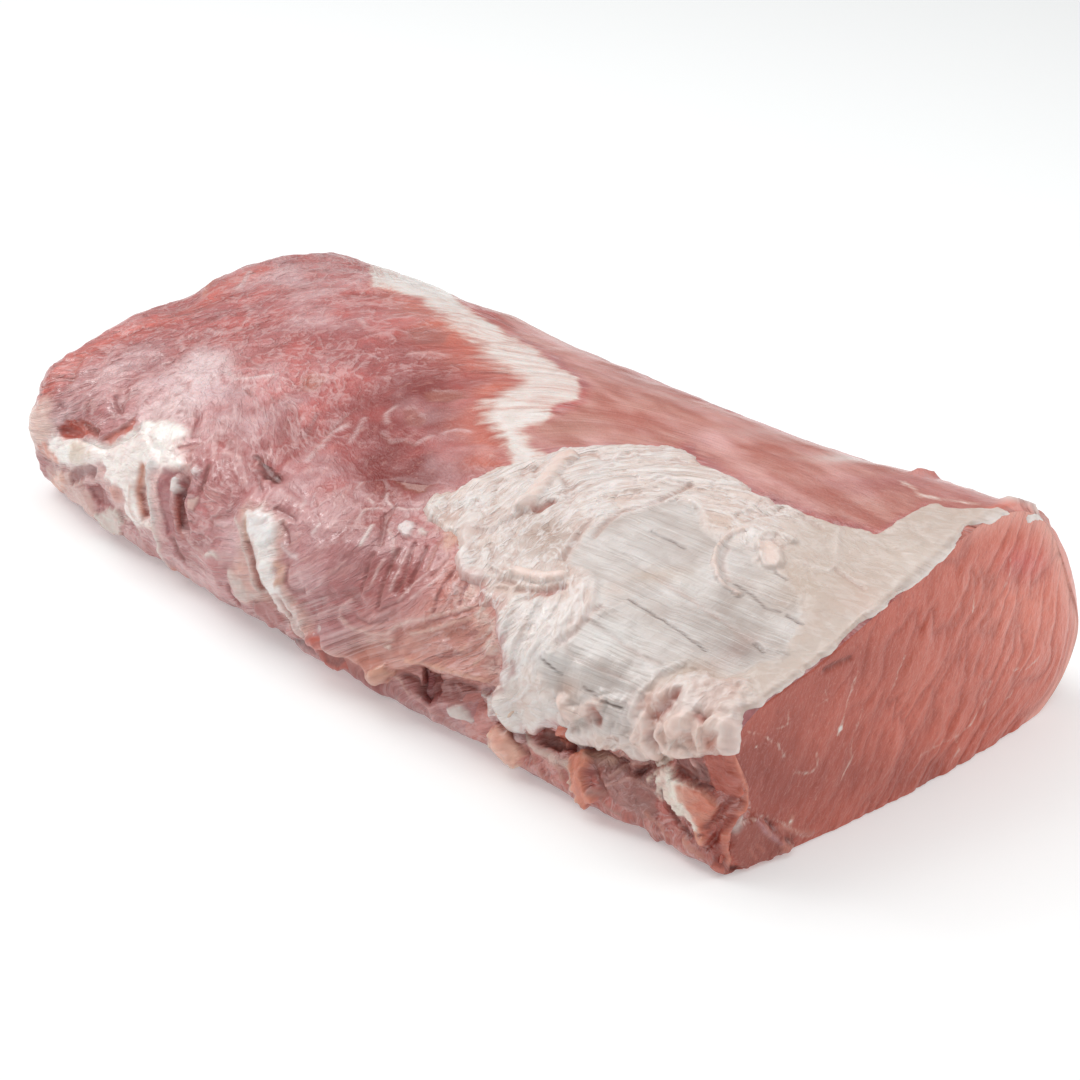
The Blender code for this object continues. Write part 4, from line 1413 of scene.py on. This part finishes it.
def build_sheet(name, skin, outline, cell, marks, lumpiness, material):
    """A closed sheet over part of the skin, in finer cells, with marks drawn on it."""
    at, *surface = finer_cells(skin, outline, 0, cell)
    side = Surface(*surface)
    layers = {label: bilinear(layer, at) for label, layer in skin.layers.items()}
    rise, drawn_layers, marked = drawn(side, skin, *marks, 0.5)
    grain = flesh_grain(side.points, layers["fibre"], layers["rawness"])
    lumps = wave(side.points, 4.5, 135, 3)
    inside = within(side.places, outline)
    fade = smooth(inside / 5)
    height = (rise + 0.30 * grain + lumpiness * (0.3 + lumps)) * fade
    height -= 0.5 * (1 - smooth(inside / 1.6))
    level = side.normals.copy()
    level[..., 2] *= smooth(side.places[..., 1] / 3)
    top = above_table(side.points + level * height[..., None])
    top[..., 2] *= side.places[..., 1] > 0
    under = above_table(side.points - level * SHEET_DEPTH)
    shade = 0.40 * smooth(-1.4 * grain - 0.1) + 0.4 * lumpiness * smooth(-lumps - 0.2)
    tint = coated(layers["tint"], (rgb(158, 78, 64), smooth((0.8 - side.places[..., 0]) / 2)),
                  (rgb(132, 72, 66), fade * shade),
                  (rgb(222, 184, 180), 0.30 * fade * smooth(1.6 * grain - 0.3)),
                  (rgb(206, 116, 98), np.full(fade.shape, 0.6 * lumpiness)))
    uneven = 0.90 + 0.22 * wave(side.points, 2.2, 137, 2)
    for share, colour in drawn_layers:
        tint = mixed(tint, colour, uneven * share)
    if lumpiness > TORN:
        tint = tint * TORN_PAINTED_LIGHT
        fleshy = smooth((tint[..., 0] - tint[..., 1] - 0.12) / 0.2)
        tint = mixed(tint, tint * CORNER_RED_AND_SHADE, fleshy * spot(side.photo, (712, 800), (40, 70)))
    values = {"tint": tint, "fat": layers["fat"] * (1 - marked),
              "rawness": layers["rawness"] * (1 - 0.55 * marked), "fibre": layers["fibre"]}
    return sheet_mesh(name, top, under, inside > 0, values, material)


def sheet_outlines(skin):
    """The outlines in (back, girth) of the sheets that lie on the flesh."""
    side = skin.place_of(SIDE_OUTLINE, 0.5)
    side[:, 1] = np.where((side[:, 1] < 3) & (side[:, 0] > 2), -6, side[:, 1])
    return {"ragged_side": side, "corner_fat": np.array(CORNER_SHEET, float),
            "flank": np.array(FLANK_SHEET, float)}


def far_face_x(y, z, rim, edge):
    """The rounded, lumpy far end, which starts from the edge of the skin."""
    fade = smooth(rim / 26)
    lumpy = FAR_END_BULGE + 1.2 * wave(np.stack([y, z], axis=-1), 14.0, 9, 2)
    return edge - fade * lumpy


def drift_of(points):
    """A gentle wandering of the points, for threads that aren't quite straight."""
    return wave(points, 16.0, 65, 2)[..., None] * (0.0, 1.0, 1.0)


def hidden_back(places):
    """1 on the side that the camera doesn't see, and 0 on the front and the top."""
    return smooth((places[..., 1] - 158) / 16) * smooth((262 - places[..., 0]) / 30)


def facing(skin):
    """1 where the skin is turned well towards the camera, and 0 where it is turned away."""
    return smooth(((np.array(CAMERA_PLACE) - skin.points) * skin.normals).sum(axis=-1) / 90)


def membrane_area(skin):
    """1 where a thin smooth membrane covers the flesh: the right of the top and the hidden side."""
    return np.maximum(area(skin, MEMBRANE_AREA, 5.0) * facing(skin), hidden_back(skin.places))


def paint_membrane(points):
    """The colour of the smooth membrane over the flesh, drawn out along the loin."""
    thready = wave(points * (0.16, 1, 1) + 0.8 * drift_of(points), 2.0, 63, 2)
    return coated(np.broadcast_to(MEMBRANE, points.shape),
                  (rgb(186, 108, 94), 0.5 + 0.9 * wave(points * (0.25, 1, 1), 7.0, 57, 3)),
                  (rgb(226, 170, 166), 0.25 + 0.8 * wave(points * (0.3, 1, 1), 6.0, 59, 3)),
                  (rgb(166, 92, 80), 0.45 * np.clip(-thready, 0, 1)),
                  (rgb(232, 184, 174), 0.40 * np.clip(thready, 0, 1)))


def paint_skin(skin, mottle, membrane, strip):
    """The skin's colour, and how much of it is fat, from 0 to 1."""
    photo, girth, points = skin.photo, skin.places[..., 1], skin.points
    seen = facing(skin)
    broad = wave(points, 26.0, 51, 2)
    blotch = wave(points, 9.0, 53, 3)
    tint = np.broadcast_to(RED, points.shape)
    tint = mixed(tint, MAUVE, smooth((78 - girth) / 34) * (0.75 + 0.3 * broad))
    tint = mixed(tint, MAUVE, 0.35 + 0.5 * blotch)
    for spots, colour, amount in ((DARK_PLACES, DEEP, 0.6), (BROWN_PLACES, BROWN, 0.6),
                                  (PAINTED_SHEEN_PLACES, FILM_AND_SHEEN, 0.7)):
        tint = spotted(tint, photo, spots, seen, 1 + amount * blotch, colour)
    fringe = stroke(skin, STRIP_LEFT, 9.0) * (1 - strip)
    tint = mixed(tint, ORANGE, 0.9 * fringe * (1 + 0.4 * blotch))
    tint = mixed(tint, rgb(222, 110, 98), 0.95 * stroke(skin, FAR_RIM, 5.0))
    tint = spotted(tint, photo, ORANGE_PLACES, seen, 1 + 0.5 * blotch, ORANGE)
    tint = mixed(tint, PEACH, 0.85 * stroke(skin, LIP, 1.6))
    tint = mixed(tint, paint_membrane(points), membrane)
    tint = spotted(tint, photo, MEMBRANE_PLACES, seen * membrane, 1 + 0.5 * blotch)
    # Painted shade: the front darkens towards the table.
    tint = mixed(tint, rgb(160, 88, 82), 0.8 * smooth((18 - girth) / 12) * seen * (1 + 0.5 * blotch))
    # Painted light: the skin along the top of the cut edge takes the pale, glowing colour of the cut face's
    # lit rim.
    lit_rim_by_cut = smooth((4.5 - skin.places[..., 0]) / 3.5) * smooth((girth - 90) / 20)
    tint = mixed(tint, rgb(234, 138, 120), 0.9 * lit_rim_by_cut)
    films = smooth((wave(points * (0.22, 1, 1), 11.0, 61, 4) - 0.30) * 2.2)
    fat = np.maximum(strip, 0.5 * hidden_back(skin.places) * films)
    for weight, width, *pixels in FAT_STREAKS:
        fat = np.maximum(fat, weight * stroke(skin, pixels, width))
    fat *= 1 - lit_rim_by_cut
    streaky = (1 - 0.8 * membrane) * (1 - fat) * (1 - lit_rim_by_cut)
    tint = mixed(tint, FILM_AND_SHEEN, 0.34 * streaky * np.clip(mottle - 0.15, 0, 1))
    tint = mixed(tint, DEEP, 0.50 * streaky * np.clip(-mottle - 0.1, 0, 1))
    return tint, fat


def paint_cut_face(face, ridges, rim):
    """The fresh cut face: salmon flesh, drawn out along the grain, with thin white veins. Its colour carries
    painted light: lighter to the upper right, darker to the lower left and low down, a pale painted highlight
    along its right rim, and painted light and shade on its ridges.
    """
    photo = face.photo
    blotch = wave(face.points, 10.0, 71, 3)
    tint = coated(np.broadcast_to(FRESH_CUT, face.points.shape),
                  (PAINTED_LIGHT_CUT, spot(photo, (1030, 580), (64, 90)) + 0.15 * blotch),
                  (PAINTED_LIGHT_CUT, 0.25 * spot(photo, (930, 690), (50, 50))),
                  (PAINTED_SHADE_CUT, 0.75 * spot(photo, (770, 770), (80, 80)) + 0.2 * blotch),
                  (PAINTED_SHADE_CUT, 0.45 * spot(photo, (850, 660), (70, 30))),
                  (PAINTED_SHADE_CUT, 0.50 * spot(photo, (900, 775), (80, 26))),
                  (rgb(216, 92, 86), 0.8 * spot(photo, (1024, 562), (24, 18))),
                  (rgb(246, 176, 160), 0.8 * bell(rim, 3.4) * smooth((photo[..., 0] - 940) / 60)),
                  # Painted shade in the troughs of the ridges and painted light on their crests.
                  (PAINTED_SHADE_CUT, 0.45 * np.clip(-1.3 * ridges, 0, 1)),
                  (PAINTED_LIGHT_CUT, 0.25 * np.clip(ridges, 0, 1)))
    fat = np.zeros(rim.shape)
    for width, *pixels in VEINS:
        fat = np.maximum(fat, 0.42 * stroke(face, pixels, width + 0.2))
    for pixel, width in FAT_SPOTS:
        fat = np.maximum(fat, stroke(face, (pixel, pixel), width))
    return tint, fat


# ---------------------------------------------------------------- the patch of fat and silverskin
def grid_steps(surface, places):
    """Where (back, girth) places lie on the surface's grid, in grid steps."""
    backs, girths = surface.places[:, 0, 0], surface.places[:, :, 1]
    row = np.interp(-places[..., 0], -backs, np.arange(len(backs)))
    low = np.clip(np.floor(row).astype(int), 0, len(backs) - 2)
    share = (row - low)[..., None]
    stops = corner_steps(BODY_CELLS)
    corners = girths[:, stops]
    local = corners[low] * (1 - share) + corners[low + 1] * share
    ring = np.zeros(places.shape[:-1])
    for k in range(3):
        span = (places[..., 1] - local[..., k]) / (local[..., k + 1] - local[..., k])
        ring = np.where(span >= 0, stops[k] + np.clip(span, 0, 1) * (stops[k + 1] - stops[k]), ring)
    return np.stack([row, ring], axis=-1)


def patch_outline(skin):
    """The patch's outline on the skin: over the top, down onto the cut face and along its lower edge."""
    return np.vstack([skin.place_of(PATCH, PATCH_LIFT), skin.place_of(PATCH_ON_FACE, 0.3),
                      skin.place_of(PATCH_BELOW, 0.8)])


class Patch(Surface):
    """The skin under the patch, in fine cells, with the zones of the patch."""

    def __init__(self, skin):
        self.skin = skin
        outline = patch_outline(skin)
        _, *surface = finer_cells(skin, outline, 3, PATCH_CELL)
        super().__init__(*surface)
        self.inside = within(self.places, outline)
        self.silver = self.zone(SILVER, 6.0, 85)
        self.lumpy = self.zone(LUMPY_FAT, 4.0, 87)
        self.band = smooth((46 - self.places[..., 0]) / 16) * (1 - self.silver) * (1 - self.lumpy)
        self.stringy = (1 - self.silver) * (1 - self.band) * (1 - self.lumpy)
        self.marks = [(rise, self.near(pixels, width, rise >= CORD_RISE))
                      for _, width, rise, *pixels in FAT_MARKS]
        self.calm = np.max([share for rise, share in self.marks if rise >= CALM_RISE], axis=0)

    def zone(self, pixels, size, seed):
        """1 inside an outline drawn on the photograph, with a wandering soft edge."""
        inside = within(self.places, self.skin.place_of(pixels, PATCH_LIFT))
        return smooth((inside + 1.5 * wave(self.points, size, seed, 3)) / 3.0 + 0.5)

    def near(self, pixels, width, rounded=False):
        """1 along a line drawn on the photograph, falling to nothing at about twice the width, or
        rounded like a cord."""
        off = to_path(self.places, self.skin.place_of(pixels, PATCH_LIFT))
        if rounded:
            off = off + 0.25 * wave(self.points, 3.0, 89, 2)
            return np.sqrt(np.clip(1 - (off / (1.25 * width)) ** 2, 0, 1))
        return bell(off, width)


def build_patch(skin, material):
    """The patch: a closed sheet, stringy cream fat round a smooth, finely lined, split silverskin."""
    patch = Patch(skin)
    points, places = patch.points, patch.places
    silver, lumpy, band, stringy = patch.silver, patch.lumpy, patch.band, patch.stringy
    fibres = fibre_places(patch, FAT_FLOWS)
    drift = 1.6 * wave(points, 8.0, 91, 2)
    bent = drift + 0.7 * wave(points, 3.4, 109, 2)
    strands = drawn_out(fibres, 1.5, 1.8 * bent, STRAND_WIDTH, 93, 3)
    folds = 1.9 * np.abs(drawn_out(fibres, 1.5, 2.6 * bent, FOLD_WIDTH, 95, 3)) ** 0.6 - 0.9
    ribbons = drawn_out(places, 30, 0.3 * drift, RIBBON_WIDTH, 97)
    crimp = wave(places / (1, 9), CRIMP_WIDTH, 99, 2)

    on_face = smooth((1.0 - places[..., 0]) / 2.0)
    height = PATCH_HEIGHT + 0.35 * stringy + 0.5 * lumpy - 0.2 * silver - 0.5 * on_face
    soft = 1 - 0.8 * patch.calm
    height += stringy * soft * (0.46 * folds + 0.13 * strands) + 0.35 * wave(points, 11.0, 103, 2)
    big, small = KNOB_WIDTHS
    knobs = cells(points + 0.6 * drift[..., None], big, 5) + 0.55 * cells(points, small, 7)
    height += lumpy * (knobs + 0.7 * folds - 0.6 + 0.35 * strands)
    height += silver * (0.22 * np.tanh(6 * ribbons) + 0.10 * crimp)
    height += band * (0.12 * wave(points, 5.0, 105, 3) + 0.08 * strands)
    for rise, share in patch.marks:
        height += rise * share
    split = np.max([patch.near(pixels, SPLIT_WIDTH) for pixels in SPLITS], axis=0)
    height = np.maximum(height - SPLIT_DEPTH * split, PATCH_THINNEST)

    depth_in = patch.inside + 0.9 * wave(points, 5.0, 81, 3) + 0.5 * stringy * strands
    depth_in += 1.5 * smooth((34 - places[..., 1]) / 10) * wave(points, 3.0, 107, 2)
    edge = 0.8 + 0.9 * stringy
    rise = np.clip(depth_in / edge, -1, 1)
    height = -EDGE_SINK + (height + EDGE_SINK) * (0.5 + 0.5 * np.sin(rise * math.pi / 2))
    top = points + patch.normals * height[..., None]
    bottom = points - patch.normals * PATCH_DEPTH
    # The dark brown of the splits is painted shade in the narrow cracks.
    tint = mixed(paint_patch(patch, folds, strands, crimp, depth_in), rgb(98, 66, 54), 0.75 * split)
    values = {"tint": tint, "silver": silver, "strung": (stringy + 0.35 * lumpy) * soft, "fibre": fibres,
              "line": places}
    return sheet_mesh("fat_patch", top, bottom, depth_in > -edge, values, material)


def paint_patch(patch, folds, strands, crimp, depth_in):
    """The patch's colours: cream fat, grey silverskin, a beige band by the cut and pink painted shade in the
    hollows.
    """
    points, places = patch.points, patch.places
    blotch = wave(points, 8.0, 111, 3)
    # Painted shade: pink in the troughs of the folds and strands, and between the knobs of the lumpy fat.
    hollow = patch.stringy * (0.55 * smooth(-1.4 * folds) + 0.22 * smooth(-1.2 * strands))
    shade = 0.36 - 0.18 * crimp + 0.4 * blotch
    grey = mixed(np.broadcast_to(SILVERSKIN, points.shape), SILVER_SHADE, shade)
    tint = coated(np.broadcast_to(CREAM, points.shape), (WHITE_FAT, 0.45 + 0.5 * blotch),
                  (rgb(206, 166, 152), hollow + 0.45 * patch.lumpy * smooth(0.3 - 2 * strands)),
                  (BAND_FAT, 0.8 * patch.band), (grey, patch.silver))
    tint = spotted(tint, patch.photo, PATCH_PLACES, 1.0, 1 + 0.4 * blotch)
    # Sunk marks get painted shade; cords get their pinker colour and a painted highlight.
    for rise, share in patch.marks:
        if rise < 0:
            colour, weight = (FAT_PIT_SHADE if rise < -1 else FAT_DIP_SHADE), min(0.85, -0.75 * rise)
        else:
            colour, weight = (FAT_CORD_AND_HIGHLIGHT, 0.65) if rise >= CORD_RISE else (WHITE_FAT, 0.45)
            weight *= min(1.0, rise)
        tint = mixed(tint, colour, weight * share)
    # A pale edge where the fat thins; painted light on the part over the cut face, to make up for its shade;
    # and a faint painted highlight along the arris.
    tint = coated(tint, (rgb(232, 200, 184), 0.35 * smooth(1 - depth_in / 1.6)),
                  (rgb(255, 242, 236), 0.85 * smooth((1.2 - places[..., 0]) / 1.6)),
                  (rgb(250, 236, 228), 0.15 * bell(places[..., 0] - 1.6, 1.6)))
    under = bilinear(patch.skin.layers["tint"], grid_steps(patch.skin, places))
    torn = smooth(1 - (depth_in + 1.4 * strands) / 4.5) * patch.stringy * smooth((60 - places[..., 1]) / 10)
    return mixed(0.965 * tint, under, 0.8 * torn)


# ---------------------------------------------------------------- materials
class Shader:
    """A material's node tree around its Principled shader."""

    def __init__(self, name):
        self.material = bpy.data.materials.new(name)
        self.material.use_nodes = True
        self.tree = self.material.node_tree
        self.surface = self.tree.nodes["Principled BSDF"]

    def add(self, kind, inputs=None, output=0, **settings):
        """Add a node, set its settings and inputs, and give back one of its outputs."""
        node = self.tree.nodes.new("ShaderNode" + kind)
        for name, value in settings.items():
            setattr(node, name, value)
        for name, value in (inputs or {}).items():
            self.feed(node.inputs[name], value)
        return node.outputs[output]

    def feed(self, socket, value):
        """Link an input to an output, or set it to a number or a colour."""
        if isinstance(value, bpy.types.NodeSocket):
            self.tree.links.new(value, socket)
        elif isinstance(value, np.ndarray):
            socket.default_value = (*map(float, value), 1.0)
        else:
            socket.default_value = value

    def finish(self, **inputs):
        """Set the Principled shader's inputs."""
        for name, value in inputs.items():
            self.feed(self.surface.inputs[name.replace("_", " ")], value)
        return self.material

    def attribute(self, name, output="Fac"):
        """The mesh's value of a name at each point."""
        return self.add("Attribute", attribute_name=name, output=output)

    def noise(self, size_mm, detail=3.0, roughness=0.55, stretch=(1, 1, 1)):
        """Noise from 0 to 1 with lumps of a size in millimetres, on the object with its axes stretched."""
        where = self.add("TexCoord", output="Object")
        place = self.add("Mapping", {"Vector": where, "Scale": stretch})
        return self.add("TexNoise", {"Vector": place, "Scale": 1 / (size_mm * MM), "Detail": detail,
                                     "Roughness": roughness})

    def fibred(self, size_mm, ratio, detail=3.0, roughness=0.55, distortion=0.0, layer="fibre"):
        """Noise from 0 to 1 drawn out along the fibres, with a width in millimetres."""
        fibre = self.attribute(layer, "Vector")
        place = self.add("Mapping", {"Vector": fibre, "Scale": (1 / ratio, 1.0, 1.0)})
        return self.add("TexNoise", {"Vector": place, "Scale": 1 / size_mm, "Detail": detail,
                                     "Roughness": roughness, "Distortion": distortion})

    def creased(self, size_mm, ratio, width):
        """1 along thin winding lines that follow the fibres, and 0 between them."""
        field = self.fibred(size_mm, ratio, roughness=0.5, distortion=1.2)
        off = self.math("ABSOLUTE", self.total(field, -0.5))
        return self.ramp(off, width, 0.0)

    def web(self, *creases):
        """Several sets of winding lines together: each its size, ratio, width and weight."""
        return self.total(*[self.times(self.creased(*crease), weight) for *crease, weight in creases])

    def math(self, operation, *values):
        """A value worked out from others."""
        return self.add("Math", dict(enumerate(values)), operation=operation)

    def total(self, first, *others):
        """The sum of some values."""
        for other in others:
            first = self.math("ADD", first, other)
        return first

    def times(self, first, *others):
        """The product of some values."""
        for other in others:
            first = self.math("MULTIPLY", first, other)
        return first

    def ramp(self, value, low, high, to_low=0.0, to_high=1.0):
        """A value carried from one range to another, easily, and held at its ends."""
        return self.add("MapRange", {"Value": value, "From Min": low, "From Max": high,
                                     "To Min": to_low, "To Max": to_high},
                        interpolation_type="SMOOTHSTEP")

    def coats(self, colour, *coats):
        """A colour under others, each with its share."""
        for share, coat in coats:
            colour = self.add("Mix", {0: share, 6: colour, 7: coat}, output=2, data_type="RGBA")
        return colour

    def bump(self, height, distance_mm):
        """A normal bent by a height."""
        return self.add("Bump", {"Height": height, "Distance": distance_mm * MM, "Strength": 1.0})


def meat_material():
    """Raw flesh, streaked along its fibres, with white fat where the fat value says so."""
    shader = Shader("raw_meat")
    ramp, times = shader.ramp, shader.times
    rawness = shader.attribute("rawness")
    film = shader.fibred(1.8, 1.8, detail=5.0, roughness=0.68, distortion=0.9)
    thread = shader.fibred(0.55, 4.0, detail=2.0, distortion=0.3)
    blotch = shader.noise(4.0, 3.0, 0.6)
    web = times(shader.web((2.8, 1.8, 0.12, 0.6), (1.4, 1.8, 0.13, 0.4)), rawness)
    # Painted shade: dark crevices along the fibres, which the bump also sinks.
    crevice_shade = times(ramp(shader.fibred(2.3, 2.6, detail=2.0, distortion=0.8), 0.40, 0.26), rawness)
    grain = shader.noise(0.8, 2.0, 0.6)
    speckled = ramp(rawness, 0.5, 0.0)
    thready = ramp(rawness, 0.0, 1.0, 0.26, 0.25)
    level = shader.total(shader.attribute("fat"), ramp(film, 0.3, 0.7, -0.18, 0.18),
                         ramp(thread, 0.3, 0.7, -0.06, 0.06))
    fat = shader.coats(PINK_FAT, (ramp(level, 0.40, 0.95), WHITE_FAT),
                       (ramp(blotch, 0.40, 0.65, 0.0, 0.5), rgb(226, 210, 202)))
    colour = shader.coats(
        shader.attribute("tint", "Color"),
        (times(ramp(film, 0.50, 0.76, 0.0, 0.34), rawness), FILM_AND_SHEEN),
        (times(ramp(film, 0.50, 0.28, 0.0, 0.55), rawness), DEEP),
        (ramp(web, 0.35, 1.0, 0.0, 0.38), rgb(238, 204, 202)),
        (times(crevice_shade, 0.50), rgb(140, 64, 58)),
        (times(ramp(grain, 0.58, 0.74), times(speckled, 0.25)), rgb(236, 176, 164)),
        (times(ramp(thread, 0.52, 0.78), thready), rgb(230, 172, 160)),
        (times(ramp(thread, 0.46, 0.26), thready), rgb(150, 74, 64)),
        (ramp(level, 0.18, 0.80), fat))
    relief = shader.total(
        times(film, times(rawness, 0.8)), times(thread, 0.16), times(web, 0.45),
        times(grain, times(speckled, 0.22)), times(crevice_shade, -0.35), times(blotch, 0.40))
    return shader.finish(Base_Color=colour, Roughness=0.40, Normal=shader.bump(relief, 1.0),
                         Subsurface_Weight=0.12, Subsurface_Radius=FLESH_GLOW, Subsurface_Scale=0.002,
                         Coat_Weight=0.45, Coat_Roughness=0.13)


def fat_material():
    """Cream fat with a waxy sheen, and silverskin with fine lines along the loin."""
    shader = Shader("fat_and_silverskin")
    ramp, times = shader.ramp, shader.times
    tint = shader.attribute("tint", "Color")
    silver = shader.attribute("silver")
    strung = shader.attribute("strung")
    fine = shader.noise(1.1, 4.0, 0.65)
    strand = shader.fibred(1.4, 1.5, detail=4.0, roughness=0.62, distortion=0.9)
    web = shader.web((3.2, 1.25, 0.12, 0.55), (1.7, 1.6, 0.13, 0.45))
    lines = shader.fibred(0.55, 26.0, detail=2.0, roughness=0.6, layer="line")
    ribbed = shader.fibred(2.2, 18.0, detail=2.0, layer="line")
    crimp = shader.fibred(3.2, 0.20, detail=4.0, roughness=0.6, distortion=0.5, layer="line")
    stringy = shader.coats(
        tint, (times(ramp(strand, 0.48, 0.28, 0.0, 0.32), strung), rgb(208, 164, 148)),
        (times(ramp(web, 0.30, 1.0, 0.0, 0.60), ramp(strung, 0.0, 1.0, 0.3, 1.0)), rgb(250, 243, 240)))
    lined = shader.coats(
        tint, (ramp(lines, 0.46, 0.28, 0.0, 0.40), rgb(158, 138, 128)),
        (ramp(lines, 0.54, 0.74, 0.0, 0.42), rgb(252, 249, 247)),
        (ramp(ribbed, 0.47, 0.30, 0.0, 0.30), rgb(176, 160, 152)),
        (ramp(ribbed, 0.54, 0.70, 0.0, 0.30), rgb(243, 238, 235)),
        (ramp(crimp, 0.52, 0.80, 0.0, 0.10), rgb(246, 242, 240)))
    fat_relief = times(shader.total(times(fine, 0.35), times(web, 0.32), times(strand, 0.16)),
                       ramp(strung, 0.0, 1.0, 0.35, 1.0))
    silver_relief = shader.total(times(lines, 0.20), times(crimp, 0.25), times(ribbed, 0.5))
    relief = shader.add("Mix", {0: silver, 2: fat_relief, 3: silver_relief})
    return shader.finish(Base_Color=shader.coats(stringy, (silver, lined)), Roughness=0.40,
                         Normal=shader.bump(relief, 1.0), Subsurface_Weight=0.15,
                         Subsurface_Radius=(1.0, 0.6, 0.45), Subsurface_Scale=0.002, Coat_Weight=0.35,
                         Coat_Roughness=0.15)


def underside_material():
    """The flat underside: damp flesh with a film of fat."""
    shader = Shader("underside")
    blotch = shader.noise(16.0, 4.0, 0.6, stretch=(0.4, 1, 1))
    film = shader.noise(26.0, 5.0, 0.65, stretch=(0.5, 1, 1))
    colour = shader.coats(MAUVE, (blotch, RED), (shader.ramp(film, 0.52, 0.68, 0.0, 0.8), FILM_AND_SHEEN))
    return shader.finish(Base_Color=colour, Roughness=0.45, Normal=shader.bump(film, 0.6),
                         Subsurface_Weight=0.2, Subsurface_Radius=FLESH_GLOW, Subsurface_Scale=0.003)


# ---------------------------------------------------------------- studio
WORLD_GLOW = 0.34
FLOOR_REACH = 6.0
FLOOR_GAP = 0.0003


def make_camera():
    """The camera that took the photograph."""
    data = bpy.data.cameras.new("camera")
    data.sensor_width = SENSOR_WIDTH
    data.lens = SENSOR_WIDTH * FOCAL_PIXELS / PHOTO_SIZE
    data.clip_start = 0.01
    camera = bpy.data.objects.new("camera", data)
    right, up, backward = camera_axes()
    camera.matrix_world = Matrix.Translation((np.array(CAMERA_PLACE) - CENTRE) * MM) @ Matrix(
        np.stack([right, up, backward], axis=1).tolist()).to_4x4()
    bpy.context.scene.collection.objects.link(camera)
    bpy.context.scene.camera = camera


def area_light(name, place, size, power, aim=(0, 0, 0)):
    """A soft square light that looks at a point."""
    data = bpy.data.lights.new(name, "AREA")
    data.shape, data.size, data.energy = "SQUARE", size, power
    light = bpy.data.objects.new(name, data)
    light.location = place
    light.rotation_mode = "QUATERNION"
    light.rotation_quaternion = (Vector(aim) - Vector(place)).to_track_quat("-Z", "Y")
    bpy.context.scene.collection.objects.link(light)


def make_studio():
    """A glowing white floor, a big soft light from behind on the left, and weaker ones on the right."""
    world = bpy.data.worlds.new("studio")
    world.use_nodes = True
    background = world.node_tree.nodes["Background"]
    background.inputs["Color"].default_value = (1.0, 1.0, 1.0, 1.0)
    background.inputs["Strength"].default_value = WORLD_GLOW
    bpy.context.scene.world = world
    area_light("key", (-0.60, -0.25, 0.80), 0.8, 5.0)
    area_light("overhead", (0.05, 0.0, 1.2), 1.2, 5.6)
    area_light("glint_front", (-0.55, -0.40, 0.55), 0.12, 0.45)
    area_light("right", (0.42, 0.40, 0.30), 0.35, 0.8, aim=(0.13, 0.03, 0.03))
    floor = Shader("white_floor").finish(Base_Color=rgb(227, 229, 229), Roughness=0.9,
                                         Specular_IOR_Level=0.1, Emission_Color=rgb(255, 255, 255),
                                         Emission_Strength=0.28)
    mesh = bpy.data.meshes.new("floor")
    reach = FLOOR_REACH
    mesh.from_pydata([(-reach, -reach, 0), (reach, -reach, 0), (reach, reach, 0), (-reach, reach, 0)],
                     [], [(0, 1, 2, 3)])
    mesh.materials.append(floor)
    plane = bpy.data.objects.new("floor", mesh)
    plane.location.z = -FLOOR_GAP
    bpy.context.scene.collection.objects.link(plane)


# ---------------------------------------------------------------- everything together
def main():
    """Build, dress and light the loin."""
    meat, fat, underside = meat_material(), fat_material(), underside_material()
    loin, skin, cut_edge = build_loin([meat, underside])
    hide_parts("pork_loin")
    outlines = sheet_outlines(skin)
    fleshy = [loin, build_cut_face(cut_edge, meat)]
    for name, cell, marks, lumpiness in (
            ("ragged_side", SIDE_CELL, (SIDE_AREAS, SIDE_LINES), 0.45),
            ("corner_fat", CORNER_CELL, (CORNER_AREAS, CORNER_LINES), 0.10),
            ("flank", FLANK_CELL, (FLANK_AREAS, FLANK_LINES), 0.12)):
        fleshy.append(build_sheet(name, skin, outlines[name], cell, marks, lumpiness, meat))
    fatty = [build_patch(skin, fat)]
    for pieces, slot in ((fleshy, "meat"), (fatty, "fat")):
        for piece in pieces:
            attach(piece, "root")
    make_camera()
    make_studio()
    bpy.context.scene.view_settings.view_transform = "Standard"


main()
